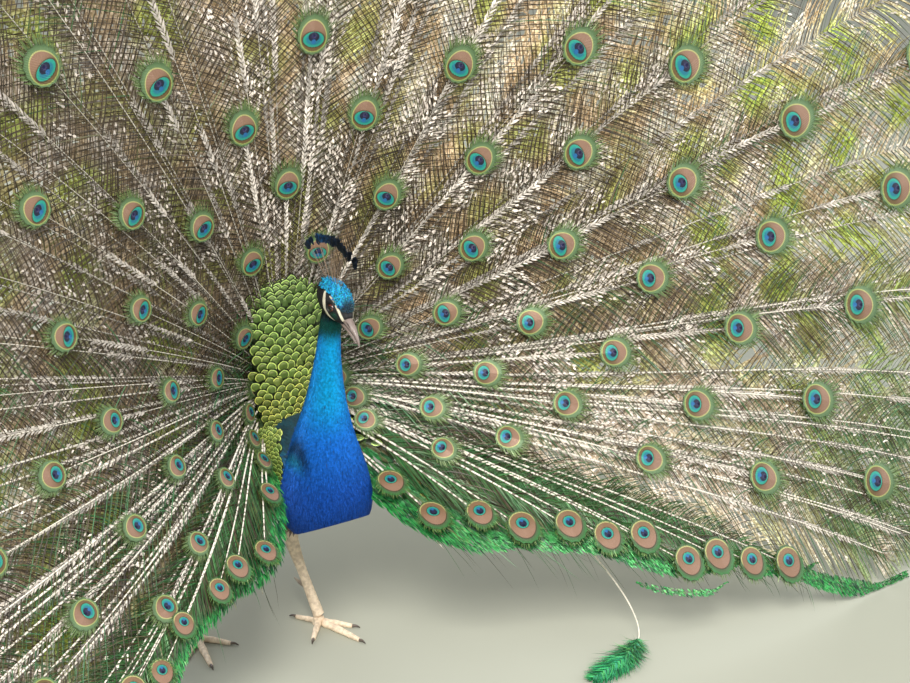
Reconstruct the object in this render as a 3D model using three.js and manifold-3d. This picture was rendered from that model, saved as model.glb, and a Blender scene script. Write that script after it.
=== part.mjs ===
// A life-size Indian peacock in display: it stands on both feet with its train raised as an open fan.
// Millimetres. The bird faces -Y, its left side is +X, and +Z is up from the floor it stands on.

import * as THREE from 'three';
import { mergeVertices } from 'three/addons/utils/BufferGeometryUtils.js';
import Module from 'manifold-3d';

const wasm = await Module();
wasm.setup();

// ---------------------------------------------------------------- driving dimensions

// Clearance left wherever two pieces meet.
const GAP = 0.35;
// Thickness of the sheets that stand for single layers of feathers.
const VANE = 0.7;

// The train is a fan that rises from the rump and wraps forward at its lower sides.
const TRAIN_ROOT_Y = 60;
const TRAIN_ROOT_Z = 340;
const TRAIN_RIM_ANGLE = THREE.MathUtils.degToRad(111);
const TRAIN_REACH_TOP = 1290;
const TRAIN_REACH_RIM = 925;
const TRAIN_REACH_POWER = 9;
const TRAIN_WRAP_TOP = 100;
const TRAIN_WRAP_RIM = 520;
const TRAIN_WRAP_LENGTH = 330;
const TRAIN_PANELS = 13;
const TRAIN_SCALLOPS_PER_PANEL = 2;
const TRAIN_SCALLOP_DEPTH = 30;

// The thick root of the train, where all its feathers grow together.
const TRAIN_BASE_INNER = 20;
const TRAIN_BASE_OUTER = 150;
const TRAIN_BASE_THICKNESS = 36;
const TRAIN_BASE_EDGE = 5;

// The fringe of narrow sword-shaped feathers under each rim of the train.
const FRINGE_START = 160;
const FRINGE_END = 900;
const FRINGE_WIDTH = 36;
const FRINGE_TEETH = 12;
const FRINGE_THICKNESS = 1.2;
// The teeth of the fringe reach from this share of its width to all of it.
const FRINGE_NOTCH = 0.62;

// A loose rim feather on the left: its shaft hangs to the floor, where its green vane lies.
const LOOSE_FEATHER_PATH = [
  new THREE.Vector3(352, -214, 176),
  new THREE.Vector3(392, -262, 112),
  new THREE.Vector3(420, -304, 48),
  new THREE.Vector3(412, -340, 9),
  new THREE.Vector3(352, -376, 3.5),
  new THREE.Vector3(272, -398, 3),
];
const LOOSE_VANE_START = 0.55;
const LOOSE_VANE_WIDTH = 34;
const LOOSE_SHAFT_WIDTH = 1.6;
const LOOSE_THICKNESS = 1.2;

// Trunk, from the breast to the root of the tail: y, z, half width, half height.
const TRUNK_STATIONS = [
  [-105, 300, 42, 52],
  [-60, 300, 68, 80],
  [0, 299, 80, 88],
  [65, 301, 75, 80],
  [120, 314, 57, 58],
  [160, 332, 34, 35],
  [186, 344, 14, 16],
];

// Neck and breast, from below upward: y, z, half width, half depth, squareness of the section.
const NECK_STATIONS = [
  [-92, 222, 58, 50, 2.6],
  [-94, 240, 66, 62, 2.6],
  [-96, 272, 68, 68, 2.5],
  [-98, 316, 60, 61, 2.3],
  [-101, 368, 44, 46, 2.1],
  [-107, 425, 30, 32, 2],
  [-114, 480, 21.5, 23, 2],
  [-121, 524, 17.5, 20, 2],
  [-127, 548, 17, 20, 2],
  [-134, 572, 15, 17, 2],
];
// Heights of the cuts that part breast, lower neck and upper neck.
const BREAST_TOP_Z = 345;
const NECK_PART_Z = 440;

// Head, from the back of the skull to the bill: y, z, half width, half height across the head's axis.
const HEAD_STATIONS = [
  [-103, 587, 8, 10],
  [-113, 586, 15, 20],
  [-131, 580, 19.5, 26.5],
  [-149, 572, 18.5, 24],
  [-162, 563.5, 13.5, 17],
  [-170.5, 557.5, 9, 10.5],
];
const EYE_RADIUS = 6.3;
const EYE_PLACE = new THREE.Vector3(12.8, -152, 574.5);

// Bill: the ridge line of each half as y, z, half width, half height.
const UPPER_BILL_STATIONS = [
  [-170.5, 558, 7.6, 5.2],
  [-179, 553, 6.2, 4.8],
  [-189, 544.5, 4.3, 3.9],
  [-197, 534, 2.2, 2.4],
  [-199.5, 527.5, 0.9, 1],
];
const LOWER_BILL_STATIONS = [
  [-163, 552, 7, 4],
  [-176, 545.5, 5.4, 3.6],
  [-186, 537.5, 3.6, 2.8],
  [-193, 530, 1.5, 1.4],
];

// Crest: a fan of bare shafts in the bird's mid plane, each with a small tuft.
const CREST_ROOT = new THREE.Vector3(0, -137, 602);
const CREST_SHAFTS = 11;
const CREST_BACK_ANGLE = THREE.MathUtils.degToRad(52);
const CREST_FRONT_ANGLE = THREE.MathUtils.degToRad(-44);
const CREST_LENGTH = 70;
const CREST_SHAFT_RADIUS = 0.6;
const CREST_TUFT_LENGTH = 9;
const CREST_TUFT_RADIUS = 3;
const CREST_SPLAY = 1.2;

// Legs: where the left foot stands, and where the right one does, with each hock above.
const LEFT_FOOT = new THREE.Vector3(36, -7, 0);
const RIGHT_FOOT = new THREE.Vector3(-147, 55, 0);
const LEFT_HOCK = new THREE.Vector3(14, 42, 146);
const RIGHT_HOCK = new THREE.Vector3(-88, 84, 146);
const LEFT_HIP = new THREE.Vector3(42, 0, 250);
const RIGHT_HIP = new THREE.Vector3(-44, 6, 250);
const HOCK_RADIUS = 10.5;
const SHANK_RADIUS = 7.4;
const ANKLE_RADIUS = 8.8;
// The pad under the ankle is a low drum with a flat sole.
const FOOT_PAD_RADIUS = 10.5;
const FOOT_PAD_TOP_RADIUS = 8.5;
const FOOT_PAD_HEIGHT = 12;
const FOOT_PAD_SIDES = 10;
const THIGH_RADII = [44, 27, 11];
const SPUR_LENGTH = 21;
const SPUR_RADIUS = 3.6;
// Toes as x, y of the tip from the foot's own centre for the left foot, and the radius at the root.
const TOES = [
  ['middle', 21, -86, 6],
  ['inner', -36, -43, 5.4],
  ['outer', 36, -41, 5.4],
  ['hind', -20, 36, 4.8],
];
const TOE_TIP_RADIUS = 3.4;
// Where a toe leaves the pad, as a share of the way from the foot's centre to its tip.
const TOE_ROOT_SHARE = 0.14;
const CLAW_LENGTH = 13;
const CLAW_RADII = [2.6, 1.9, 0.7];
// How far the round toes press into the floor plane, so that they stand on small flats.
const TOE_SINK = 0.8;

// Mantle: the shield of scale feathers behind the neck: y, z, half width, thickness.
const MANTLE_STATIONS = [
  [-58, 330, 42, 40],
  [-46, 372, 58, 46],
  [-38, 425, 71, 40],
  [-32, 478, 79, 28],
  [-25, 526, 75, 15],
  [-20, 556, 51, 7],
  [-18, 567, 13, 4],
];
const MANTLE_EDGE_SETBACK = 16;
// How much thinner the mantle is at its sides than in the middle.
const MANTLE_EDGE_THINNING = 0.75;

// True tail: a stiff fan behind the train, which props it up.
const TAIL_ROOT_Y = 176;
const TAIL_ROOT_Z = 348;
const TAIL_HALF_SPREAD = THREE.MathUtils.degToRad(58);
const TAIL_INNER = 22;
const TAIL_LENGTH = 420;
const TAIL_FEATHERS = 10;
const TAIL_LEAN = 118;
const TAIL_LEAN_LENGTH = 170;
const TAIL_NOTCH = 16;
// How much shorter the outermost tail feathers are, as a share.
const TAIL_SIDE_SHORTENING = 0.14;
const TAIL_TIP_THICKNESS = 1.2;
const TAIL_ROOT_THICKNESS = 7;

// Under-tail coverts, a fluffy cushion below the roots of tail and train: y, z, half width, half height.
const UNDERTAIL_STATIONS = [
  [92, 262, 44, 38],
  [140, 266, 54, 44],
  [188, 286, 47, 38],
  [226, 318, 28, 22],
  [242, 342, 10, 9],
];

// Wings, let down at the sides behind the train, and their flight feathers.
const WING_SHOULDER = new THREE.Vector3(90, 22, 334);
const WING_TIP = new THREE.Vector3(116, 262, 196);
const WING_HALF_WIDTH = 60;
const WING_CAMBER = 13;
const WING_THICKNESS = 12;
const WING_EDGE_THICKNESS = 1.4;
const PRIMARY_FEATHERS = 5;
const PRIMARY_THICKNESS = 1.2;
const PRIMARY_NOTCH = 12;
// The front and the rearmost flight feather: where each leaves the wing, its way, and its length.
const PRIMARY_FRONT_ROOT = new THREE.Vector3(101, 60, 244);
const PRIMARY_REAR_ROOT = new THREE.Vector3(121, 170, 210);
const PRIMARY_FRONT_WAY = new THREE.Vector3(0.12, 0.22, -0.92);
const PRIMARY_REAR_WAY = new THREE.Vector3(0.24, 0.64, -0.92);
const PRIMARY_FRONT_LENGTH = 132;
const PRIMARY_REAR_LENGTH = 158;

// How finely the round and curved forms are divided: sides round a section, and steps along it.
const TRUNK_SIDES = 14;
const TRUNK_STEPS = 9;
const NECK_SIDES = 14;
const NECK_STEPS = 14;
const HEAD_SIDES = 12;
const HEAD_STEPS = 7;
const BILL_SIDES = 8;
const BILL_STEPS = 5;
const UNDERTAIL_SIDES = 10;
const UNDERTAIL_STEPS = 5;
const THIGH_SIDES = 10;
const THIGH_STEPS = 4;
const SHANK_SIDES = 9;
const SHANK_STEPS = 6;
const TOE_SIDES = 6;
const CLAW_SIDES = 5;
// Columns across and rows along the sheets.
const TRAIN_BASE_GRID = [20, 3];
const TRAIN_PANEL_GRID = [8, 4];
const MANTLE_GRID = [8, 9];
const WING_GRID = [7, 5];
const TAIL_ROWS = 2;

// ---------------------------------------------------------------- geometry helpers

// How far a loft's closed end bulges past its last ring, as a share of that ring.
const CAP_BULGE = 0.3;

/** A closed geometry from points and triangles, turned so that its faces point out. */
function closedGeometry(points, triangles) {
  let volume = 0;
  for (const [a, b, c] of triangles) {
    volume += points[a].dot(new THREE.Vector3().crossVectors(points[b], points[c]));
  }
  const index = [];
  for (const [a, b, c] of triangles) {
    index.push(a, volume > 0 ? b : c, volume > 0 ? c : b);
  }
  const geometry = new THREE.BufferGeometry();
  geometry.setAttribute('position', new THREE.Float32BufferAttribute(points.flatMap((p) => p.toArray()), 3));
  geometry.setIndex(index);
  return geometry;
}

/** The manifold solid of a closed geometry. */
function solidOf(geometry) {
  const bare = geometry.clone();
  bare.deleteAttribute('normal');
  bare.deleteAttribute('uv');
  const merged = mergeVertices(bare, 1e-4);
  return new wasm.Manifold(new wasm.Mesh({
    numProp: 3,
    vertProperties: new Float32Array(merged.attributes.position.array),
    triVerts: new Uint32Array(merged.index.array),
  }));
}

/** The three.js geometry of a manifold solid. */
function geometryOf(solid) {
  const mesh = solid.getMesh();
  const geometry = new THREE.BufferGeometry();
  geometry.setAttribute('position', new THREE.BufferAttribute(new Float32Array(mesh.vertProperties), 3));
  geometry.setIndex(new THREE.BufferAttribute(new Uint32Array(mesh.triVerts), 1));
  return geometry;
}

/** A box solid between two corners. */
function boxSolid(low, high) {
  const box = new THREE.BoxGeometry(high[0] - low[0], high[1] - low[1], high[2] - low[2]);
  box.translate((low[0] + high[0]) / 2, (low[1] + high[1]) / 2, (low[2] + high[2]) / 2);
  return solidOf(box);
}

/** Smooth values through a few stations: t from 0 to 1 gives one interpolated row. */
function through(stations, t) {
  const last = stations.length - 1;
  const place = Math.min(Math.max(t, 0), 1) * last;
  const i = Math.min(Math.floor(place), last - 1);
  const f = place - i;
  const before = stations[Math.max(i - 1, 0)];
  const here = stations[i];
  const next = stations[i + 1];
  const after = stations[Math.min(i + 2, last)];
  return here.map((value, k) => {
    const slopeIn = (next[k] - before[k]) / 2;
    const slopeOut = (after[k] - value) / 2;
    const f2 = f * f;
    const f3 = f2 * f;
    return value * (2 * f3 - 3 * f2 + 1) + next[k] * (3 * f2 - 2 * f3)
      + slopeIn * (f3 - 2 * f2 + f) + slopeOut * (f3 - f2);
  });
}

/** A point of a unit superellipse: exponent 2 is a circle, and more is squarer. */
function superellipse(angle, exponent) {
  const power = 2 / exponent;
  const c = Math.cos(angle);
  const s = Math.sin(angle);
  return [Math.sign(c) * Math.abs(c) ** power, Math.sign(s) * Math.abs(s) ** power];
}

/** A closed body from rings, each an array of points, closed by a point past each end ring. */
function ringBody(rings, startPoint, endPoint) {
  const sides = rings[0].length;
  const points = [startPoint, ...rings.flat(), endPoint];
  const end = points.length - 1;
  const triangles = [];
  for (let k = 0; k < sides; k += 1) {
    const next = (k + 1) % sides;
    triangles.push([0, 1 + next, 1 + k]);
    triangles.push([end, end - sides + k, end - sides + next]);
    for (let r = 0; r + 1 < rings.length; r += 1) {
      const a = 1 + r * sides;
      const b = a + sides;
      triangles.push([a + k, a + next, b + next]);
      triangles.push([a + k, b + next, b + k]);
    }
  }
  return closedGeometry(points, triangles);
}

/**
 * A body in the bird's mid plane, lofted through stations of y, z, half width, half height and, where
 * the section isn't an ellipse, its squareness. Rings lie across the line of the stations, and grow
 * widens them all for making clearances.
 */
function midBody(stations, sides, steps, grow = 0) {
  const rings = [];
  const direction = (t) => {
    const [y0, z0] = through(stations, t - 0.01);
    const [y1, z1] = through(stations, t + 0.01);
    return new THREE.Vector3(0, y1 - y0, z1 - z0).normalize();
  };
  for (let s = 0; s <= steps; s += 1) {
    const t = s / steps;
    const [y, z, width, height, square = 2] = through(stations, t);
    const along = direction(t);
    const across = new THREE.Vector3(1, 0, 0);
    const up = new THREE.Vector3().crossVectors(along, across);
    const ring = [];
    for (let k = 0; k < sides; k += 1) {
      const [sideways, upward] = superellipse((2 * Math.PI * k) / sides, square);
      ring.push(new THREE.Vector3(0, y, z)
        .addScaledVector(across, (width + grow) * sideways)
        .addScaledVector(up, (height + grow) * upward));
    }
    rings.push(ring);
  }
  const capPoint = (t, way) => {
    const [y, z, width, height] = through(stations, t);
    const bulge = way * (CAP_BULGE * Math.min(width, height) + grow);
    return new THREE.Vector3(0, y, z).addScaledVector(direction(t), bulge);
  };
  return ringBody(rings, capPoint(0, -1), capPoint(1, 1));
}

/** A round limb through points, with one radius at each, and smooth between them. */
function limb(points, radii, sides, steps, grow = 0) {
  const rows = points.map((p, i) => [p.x, p.y, p.z, radii[i]]);
  const centre = (t) => new THREE.Vector3(...through(rows, t).slice(0, 3));
  const rings = [];
  for (let s = 0; s <= steps; s += 1) {
    const t = s / steps;
    const along = centre(t + 0.01).sub(centre(t - 0.01)).normalize();
    const side = new THREE.Vector3(1, 0.3, 0.2).cross(along).normalize();
    const other = new THREE.Vector3().crossVectors(along, side);
    const radius = through(rows, t)[3] + grow;
    const ring = [];
    for (let k = 0; k < sides; k += 1) {
      const angle = (2 * Math.PI * k) / sides;
      ring.push(centre(t)
        .addScaledVector(side, radius * Math.cos(angle))
        .addScaledVector(other, radius * Math.sin(angle)));
    }
    rings.push(ring);
  }
  const startWay = centre(0).sub(centre(0.02)).normalize();
  const endWay = centre(1).sub(centre(0.98)).normalize();
  const start = centre(0).addScaledVector(startWay, 0.5 * (radii[0] + grow));
  const end = centre(1).addScaledVector(endWay, 0.5 * (radii[radii.length - 1] + grow));
  return ringBody(rings, start, end);
}

/**
 * A sheet: surface(u, v) gives its middle, thickness(u, v) how thick it is there, and lean says which
 * share of that lies on the side of the surface's normal.
 */
function sheet(surface, thickness, columns, rows, lean = 0.5) {
  const count = (columns + 1) * (rows + 1);
  const front = [];
  const back = [];
  const step = 1e-3;
  for (let j = 0; j <= rows; j += 1) {
    for (let i = 0; i <= columns; i += 1) {
      const u = i / columns;
      const v = j / rows;
      const alongU = surface(Math.min(u + step, 1), v).sub(surface(Math.max(u - step, 0), v));
      const alongV = surface(u, Math.min(v + step, 1)).sub(surface(u, Math.max(v - step, 0)));
      const normal = alongU.cross(alongV).normalize();
      const middle = surface(u, v);
      const thick = thickness(u, v);
      front.push(middle.clone().addScaledVector(normal, thick * lean));
      back.push(middle.clone().addScaledVector(normal, -thick * (1 - lean)));
    }
  }
  const at = (i, j) => j * (columns + 1) + i;
  const triangles = [];
  for (let j = 0; j < rows; j += 1) {
    for (let i = 0; i < columns; i += 1) {
      triangles.push([at(i, j), at(i + 1, j), at(i + 1, j + 1)]);
      triangles.push([at(i, j), at(i + 1, j + 1), at(i, j + 1)]);
      triangles.push([count + at(i, j), count + at(i + 1, j + 1), count + at(i + 1, j)]);
      triangles.push([count + at(i, j), count + at(i, j + 1), count + at(i + 1, j + 1)]);
    }
  }
  const edge = [];
  for (let i = 0; i < columns; i += 1) edge.push([at(i, 0), at(i + 1, 0)]);
  for (let j = 0; j < rows; j += 1) edge.push([at(columns, j), at(columns, j + 1)]);
  for (let i = columns; i > 0; i -= 1) edge.push([at(i, rows), at(i - 1, rows)]);
  for (let j = rows; j > 0; j -= 1) edge.push([at(0, j), at(0, j - 1)]);
  for (const [a, b] of edge) {
    triangles.push([a, count + a, count + b]);
    triangles.push([a, count + b, b]);
  }
  return closedGeometry([...front, ...back], triangles);
}

// ---------------------------------------------------------------- materials

function feather(color, roughness = 0.6, metalness = 0.25) {
  return new THREE.MeshStandardMaterial({ color, roughness, metalness, side: THREE.DoubleSide });
}

const paint = {
  blue: () => feather(0x1445b8, 0.45, 0.4),
  crown: () => feather(0x1560a8, 0.4, 0.5),
  mantle: () => feather(0x5f7a24, 0.5, 0.4),
  train: () => feather(0x6b6b3c, 0.6, 0.3),
  fringe: () => feather(0x2f7a3a, 0.5, 0.4),
  back: () => feather(0x3f5a2a, 0.6, 0.3),
  wing: () => feather(0x6f6456, 0.7, 0),
  primary: () => feather(0x9a5c34, 0.7, 0),
  tail: () => feather(0x6a5f54, 0.7, 0),
  down: () => feather(0x4a4038, 0.9, 0),
  horn: () => feather(0xb9a79a, 0.5, 0),
  leg: () => feather(0xa88f80, 0.7, 0),
  claw: () => feather(0x5c4d44, 0.5, 0),
  eye: () => feather(0x2a120a, 0.1, 0),
};

const peacock = new THREE.Group();

function addPiece(name, geometry, material) {
  const mesh = new THREE.Mesh(geometry, material);
  mesh.name = name;
  peacock.add(mesh);
  return mesh;
}

// ---------------------------------------------------------------- trunk, breast, neck and head

// Farther than any part of the bird, for the cutting boxes.
const FAR = 2000;

const trunkForm = (grow) => solidOf(midBody(TRUNK_STATIONS, TRUNK_SIDES, TRUNK_STEPS, grow));
const neckForm = (grow) => solidOf(midBody(NECK_STATIONS, NECK_SIDES, NECK_STEPS, grow));
const headForm = (grow) => solidOf(midBody(HEAD_STATIONS, HEAD_SIDES, HEAD_STEPS, grow));
const upperBill = (grow) => solidOf(midBody(UPPER_BILL_STATIONS, BILL_SIDES, BILL_STEPS, grow));
const lowerBill = (grow) => solidOf(midBody(LOWER_BILL_STATIONS, BILL_SIDES, BILL_STEPS, grow));

/** The part of a solid between two heights, with half a gap left at each. */
function between(solid, low, high) {
  return solid.intersect(boxSolid([-FAR, -FAR, low + GAP / 2], [FAR, FAR, high - GAP / 2]));
}

const neckWhole = neckForm(0);
const neckGrown = neckForm(GAP);
const trunkGrown = trunkForm(GAP);
const headGrown = headForm(GAP);

const neckTop = between(neckWhole, NECK_PART_Z, FAR).subtract(headGrown);
addPiece('neck_upper', geometryOf(neckTop), paint.blue());
addPiece('neck_lower', geometryOf(between(neckWhole, BREAST_TOP_Z, NECK_PART_Z)), paint.blue());
addPiece('breast', geometryOf(between(neckWhole, 0, BREAST_TOP_Z)), paint.blue());
addPiece('trunk', geometryOf(trunkForm(0).subtract(neckGrown)), paint.back());

/** A round ball solid. */
function ballSolid(centre, radius, across = 10, along = 6) {
  const ball = new THREE.SphereGeometry(radius, across, along);
  ball.translate(centre.x, centre.y, centre.z);
  return solidOf(ball);
}

let head = headForm(0);
for (const [name, side] of [['eye_left', 1], ['eye_right', -1]]) {
  const place = new THREE.Vector3(side * EYE_PLACE.x, EYE_PLACE.y, EYE_PLACE.z);
  addPiece(name, geometryOf(ballSolid(place, EYE_RADIUS)), paint.eye());
  head = head.subtract(ballSolid(place, EYE_RADIUS + GAP));
}
addPiece('head', geometryOf(head), paint.crown());
const lowerHalf = lowerBill(0).subtract(headGrown).subtract(upperBill(GAP));
addPiece('bill_upper', geometryOf(upperBill(0).subtract(headGrown)), paint.horn());
addPiece('bill_lower', geometryOf(lowerHalf), paint.horn());

// ---------------------------------------------------------------- crest

/** The crest: shafts from one small knob, spread front to back and a little to either side. */
function crest() {
  let whole = ballSolid(CREST_ROOT, 4.5, 6, 4);
  for (let i = 0; i < CREST_SHAFTS; i += 1) {
    const share = i / (CREST_SHAFTS - 1);
    const angle = THREE.MathUtils.lerp(CREST_FRONT_ANGLE, CREST_BACK_ANGLE, share);
    const splay = (i % 2 ? CREST_SPLAY : -CREST_SPLAY) / CREST_LENGTH;
    const way = new THREE.Vector3(splay, Math.sin(angle), Math.cos(angle));
    // The hindmost shafts are a little longer than the foremost.
    const length = CREST_LENGTH * (0.94 + 0.12 * share);
    const at = (distance) => CREST_ROOT.clone().addScaledVector(way, distance);
    const tuftStart = at(length - 1.6 * CREST_TUFT_LENGTH);
    const shaft = limb([at(0), tuftStart], [CREST_SHAFT_RADIUS, CREST_SHAFT_RADIUS], 4, 1);
    const tuft = limb([tuftStart, at(length - 2)], [CREST_SHAFT_RADIUS, CREST_TUFT_RADIUS], 4, 1);
    whole = whole.add(solidOf(shaft)).add(solidOf(tuft));
  }
  return whole.subtract(headGrown);
}
addPiece('crest', geometryOf(crest()), paint.crown());

// ---------------------------------------------------------------- train

/** A point of the raised train, by its angle from upright and its reach from the root. */
function trainPoint(angle, reach) {
  const share = Math.abs(angle) / TRAIN_RIM_ANGLE;
  const wrap = TRAIN_WRAP_TOP + (TRAIN_WRAP_RIM - TRAIN_WRAP_TOP) * share * share;
  return new THREE.Vector3(
    reach * Math.sin(angle),
    TRAIN_ROOT_Y - wrap * (1 - Math.exp(-reach / TRAIN_WRAP_LENGTH)),
    TRAIN_ROOT_Z + reach * Math.cos(angle),
  );
}

/** How far the train reaches at an angle from upright. */
function trainReach(angle) {
  const share = Math.min(Math.abs(angle) / TRAIN_RIM_ANGLE, 1);
  return TRAIN_REACH_RIM + (TRAIN_REACH_TOP - TRAIN_REACH_RIM) * (1 - share ** TRAIN_REACH_POWER);
}

/** The thick root of the train, all round its fan. */
function trainBase(grow) {
  const surface = (u, v) => trainPoint(
    THREE.MathUtils.lerp(-TRAIN_RIM_ANGLE, TRAIN_RIM_ANGLE, u) * (1 + grow / TRAIN_BASE_OUTER),
    THREE.MathUtils.lerp(TRAIN_BASE_INNER, TRAIN_BASE_OUTER + grow, v),
  );
  const swelling = TRAIN_BASE_THICKNESS - TRAIN_BASE_EDGE;
  const thickness = (u, v) => TRAIN_BASE_EDGE + swelling * (1 - v * v) + 2 * grow;
  return solidOf(sheet(surface, thickness, ...TRAIN_BASE_GRID));
}

/** One sector of the train, scalloped along its outer rim. */
function trainPanel(number) {
  const first = THREE.MathUtils.lerp(-TRAIN_RIM_ANGLE, TRAIN_RIM_ANGLE, number / TRAIN_PANELS);
  const last = THREE.MathUtils.lerp(-TRAIN_RIM_ANGLE, TRAIN_RIM_ANGLE, (number + 1) / TRAIN_PANELS);
  const start = TRAIN_BASE_OUTER + GAP;
  const surface = (u, v) => {
    const lobe = Math.abs(Math.sin(Math.PI * TRAIN_SCALLOPS_PER_PANEL * u));
    const scallop = TRAIN_SCALLOP_DEPTH * (1 - lobe);
    const end = trainReach(THREE.MathUtils.lerp(first, last, u)) - scallop;
    const reach = THREE.MathUtils.lerp(start, end, v ** 1.5);
    const inset = GAP / 2 / reach;
    return trainPoint(THREE.MathUtils.lerp(first + inset, last - inset, u), reach);
  };
  return sheet(surface, () => VANE, ...TRAIN_PANEL_GRID);
}

/** The mantle: a shield that hugs the back of the neck and stands up behind it. */
function mantleForm() {
  const surface = (u, v) => {
    const [y, z, width] = through(MANTLE_STATIONS, v);
    const side = 2 * u - 1;
    return new THREE.Vector3(side * width, y + MANTLE_EDGE_SETBACK * side * side, z);
  };
  const thickness = (u, v) => {
    const side = 2 * u - 1;
    return through(MANTLE_STATIONS, v)[3] * (1 - MANTLE_EDGE_THINNING * side * side);
  };
  return solidOf(sheet(surface, thickness, ...MANTLE_GRID, 0));
}

const trainBaseGrown = trainBase(GAP + 0.15);
const bodyGrown = trunkGrown.add(neckGrown);
addPiece('train_base', geometryOf(trainBase(0).subtract(bodyGrown)), paint.back());
const mantle = mantleForm().subtract(bodyGrown).subtract(trainBaseGrown);
addPiece('mantle', geometryOf(mantle), paint.mantle());

for (let i = 0; i < TRAIN_PANELS; i += 1) {
  addPiece(`train_${String(i + 1).padStart(2, '0')}`, trainPanel(i), paint.train());
}

/** The toothed fringe under one rim of the train. */
function fringe(side) {
  const surface = (u, v) => {
    const reach = THREE.MathUtils.lerp(FRINGE_START, FRINGE_END, u);
    const rim = trainPoint(side * TRAIN_RIM_ANGLE, reach);
    const inward = trainPoint(side * (TRAIN_RIM_ANGLE - 0.02), reach);
    const down = rim.clone().sub(inward).normalize();
    const tooth = FRINGE_NOTCH + (1 - FRINGE_NOTCH) * Math.abs(Math.sin(Math.PI * FRINGE_TEETH * u));
    const width = FRINGE_WIDTH * tooth * (1 - (reach / (FRINGE_END + 20)) ** 4);
    return rim.addScaledVector(down, GAP + v * width);
  };
  return sheet(surface, () => FRINGE_THICKNESS, 2 * FRINGE_TEETH, 1);
}

/** One long rim feather that has slipped from its place: it droops to the floor and curls forward. */
function looseFeather() {
  const path = new THREE.CatmullRomCurve3(LOOSE_FEATHER_PATH);
  const surface = (u, v) => {
    const point = path.getPoint(u);
    const along = path.getTangent(u);
    const across = new THREE.Vector3(0, 0, 1).cross(along).normalize();
    const vane = Math.max(0, (u - LOOSE_VANE_START) / (1 - LOOSE_VANE_START));
    const width = LOOSE_SHAFT_WIDTH + LOOSE_VANE_WIDTH * Math.sin(Math.PI * vane ** 0.8);
    return point.addScaledVector(across, (v - 0.5) * width);
  };
  return sheet(surface, () => LOOSE_THICKNESS, 14, 1);
}

addPiece('train_loose_feather', looseFeather(), paint.fringe());
addPiece('train_fringe_left', fringe(1), paint.fringe());
addPiece('train_fringe_right', fringe(-1), paint.fringe());

// ---------------------------------------------------------------- tail, under-tail and wings

/** The true tail, notched between the tips of its feathers. */
function tailForm() {
  const surface = (u, v) => {
    const angle = TAIL_HALF_SPREAD * (2 * u - 1);
    const notch = TAIL_NOTCH * (1 - Math.abs(Math.sin(Math.PI * TAIL_FEATHERS * u)));
    const length = TAIL_LENGTH * (1 - TAIL_SIDE_SHORTENING * (2 * u - 1) ** 2) - notch;
    const reach = THREE.MathUtils.lerp(TAIL_INNER, length, v);
    return new THREE.Vector3(
      reach * Math.sin(angle),
      TAIL_ROOT_Y - TAIL_LEAN * (1 - Math.exp(-reach / TAIL_LEAN_LENGTH)),
      TAIL_ROOT_Z + reach * Math.cos(angle),
    );
  };
  const thickness = (u, v) => TAIL_TIP_THICKNESS + TAIL_ROOT_THICKNESS * (1 - v) ** 3;
  return solidOf(sheet(surface, thickness, 2 * TAIL_FEATHERS, TAIL_ROWS));
}

const undertailForm = (grow) => solidOf(midBody(UNDERTAIL_STATIONS, UNDERTAIL_SIDES, UNDERTAIL_STEPS, grow));
const tail = tailForm().subtract(trunkGrown);
addPiece('tail', geometryOf(tail), paint.tail());
const undertail = undertailForm(0).subtract(trunkGrown).subtract(tail);
addPiece('undertail', geometryOf(undertail), paint.down());

/** One let-down wing, rounded at its tip and swollen towards the shoulder. */
function wing(side, grow = 0) {
  const along = WING_TIP.clone().sub(WING_SHOULDER);
  const down = new THREE.Vector3(0, along.z, -along.y).normalize();
  const surface = (u, v) => {
    const across = 2 * v - 1;
    const outline = (1 - u ** 2.4) ** 0.6 * (0.72 + 0.28 * Math.sin(Math.PI * u));
    const halfWidth = WING_HALF_WIDTH * outline + 2;
    const point = WING_SHOULDER.clone().addScaledVector(along, u);
    point.addScaledVector(down, across * halfWidth);
    point.x += WING_CAMBER * (1 - across * across) * (1 - 0.6 * u);
    point.x *= side;
    return point;
  };
  const thickness = (u, v) => {
    const swelling = WING_THICKNESS * (1 - u) * Math.sin(Math.PI * (0.1 + 0.8 * v));
    return WING_EDGE_THICKNESS + swelling + 2 * grow;
  };
  return solidOf(sheet(surface, thickness, ...WING_GRID));
}

/** The flight feathers that hang below one wing. */
function primaries(side) {
  const surface = (u, v) => {
    const tooth = Math.abs(Math.sin(Math.PI * PRIMARY_FEATHERS * u));
    const length = THREE.MathUtils.lerp(PRIMARY_FRONT_LENGTH, PRIMARY_REAR_LENGTH, u) + PRIMARY_NOTCH * tooth;
    const root = PRIMARY_FRONT_ROOT.clone().lerp(PRIMARY_REAR_ROOT, u);
    const way = PRIMARY_FRONT_WAY.clone().lerp(PRIMARY_REAR_WAY, u).normalize();
    const point = root.addScaledVector(way, v * length);
    point.x *= side;
    return point;
  };
  return sheet(surface, () => PRIMARY_THICKNESS, 2 * PRIMARY_FEATHERS, 2);
}

const wingCutters = trunkGrown.add(trainBaseGrown).add(undertailForm(GAP));
for (const [name, side] of [['left', 1], ['right', -1]]) {
  addPiece(`wing_${name}`, geometryOf(wing(side).subtract(wingCutters)), paint.wing());
  const quills = solidOf(primaries(side)).subtract(wing(side, GAP));
  addPiece(`primaries_${name}`, geometryOf(quills), paint.primary());
}

// ---------------------------------------------------------------- legs and feet

const floorCut = boxSolid([-FAR, -FAR, -FAR], [FAR, FAR, 0]);

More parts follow.
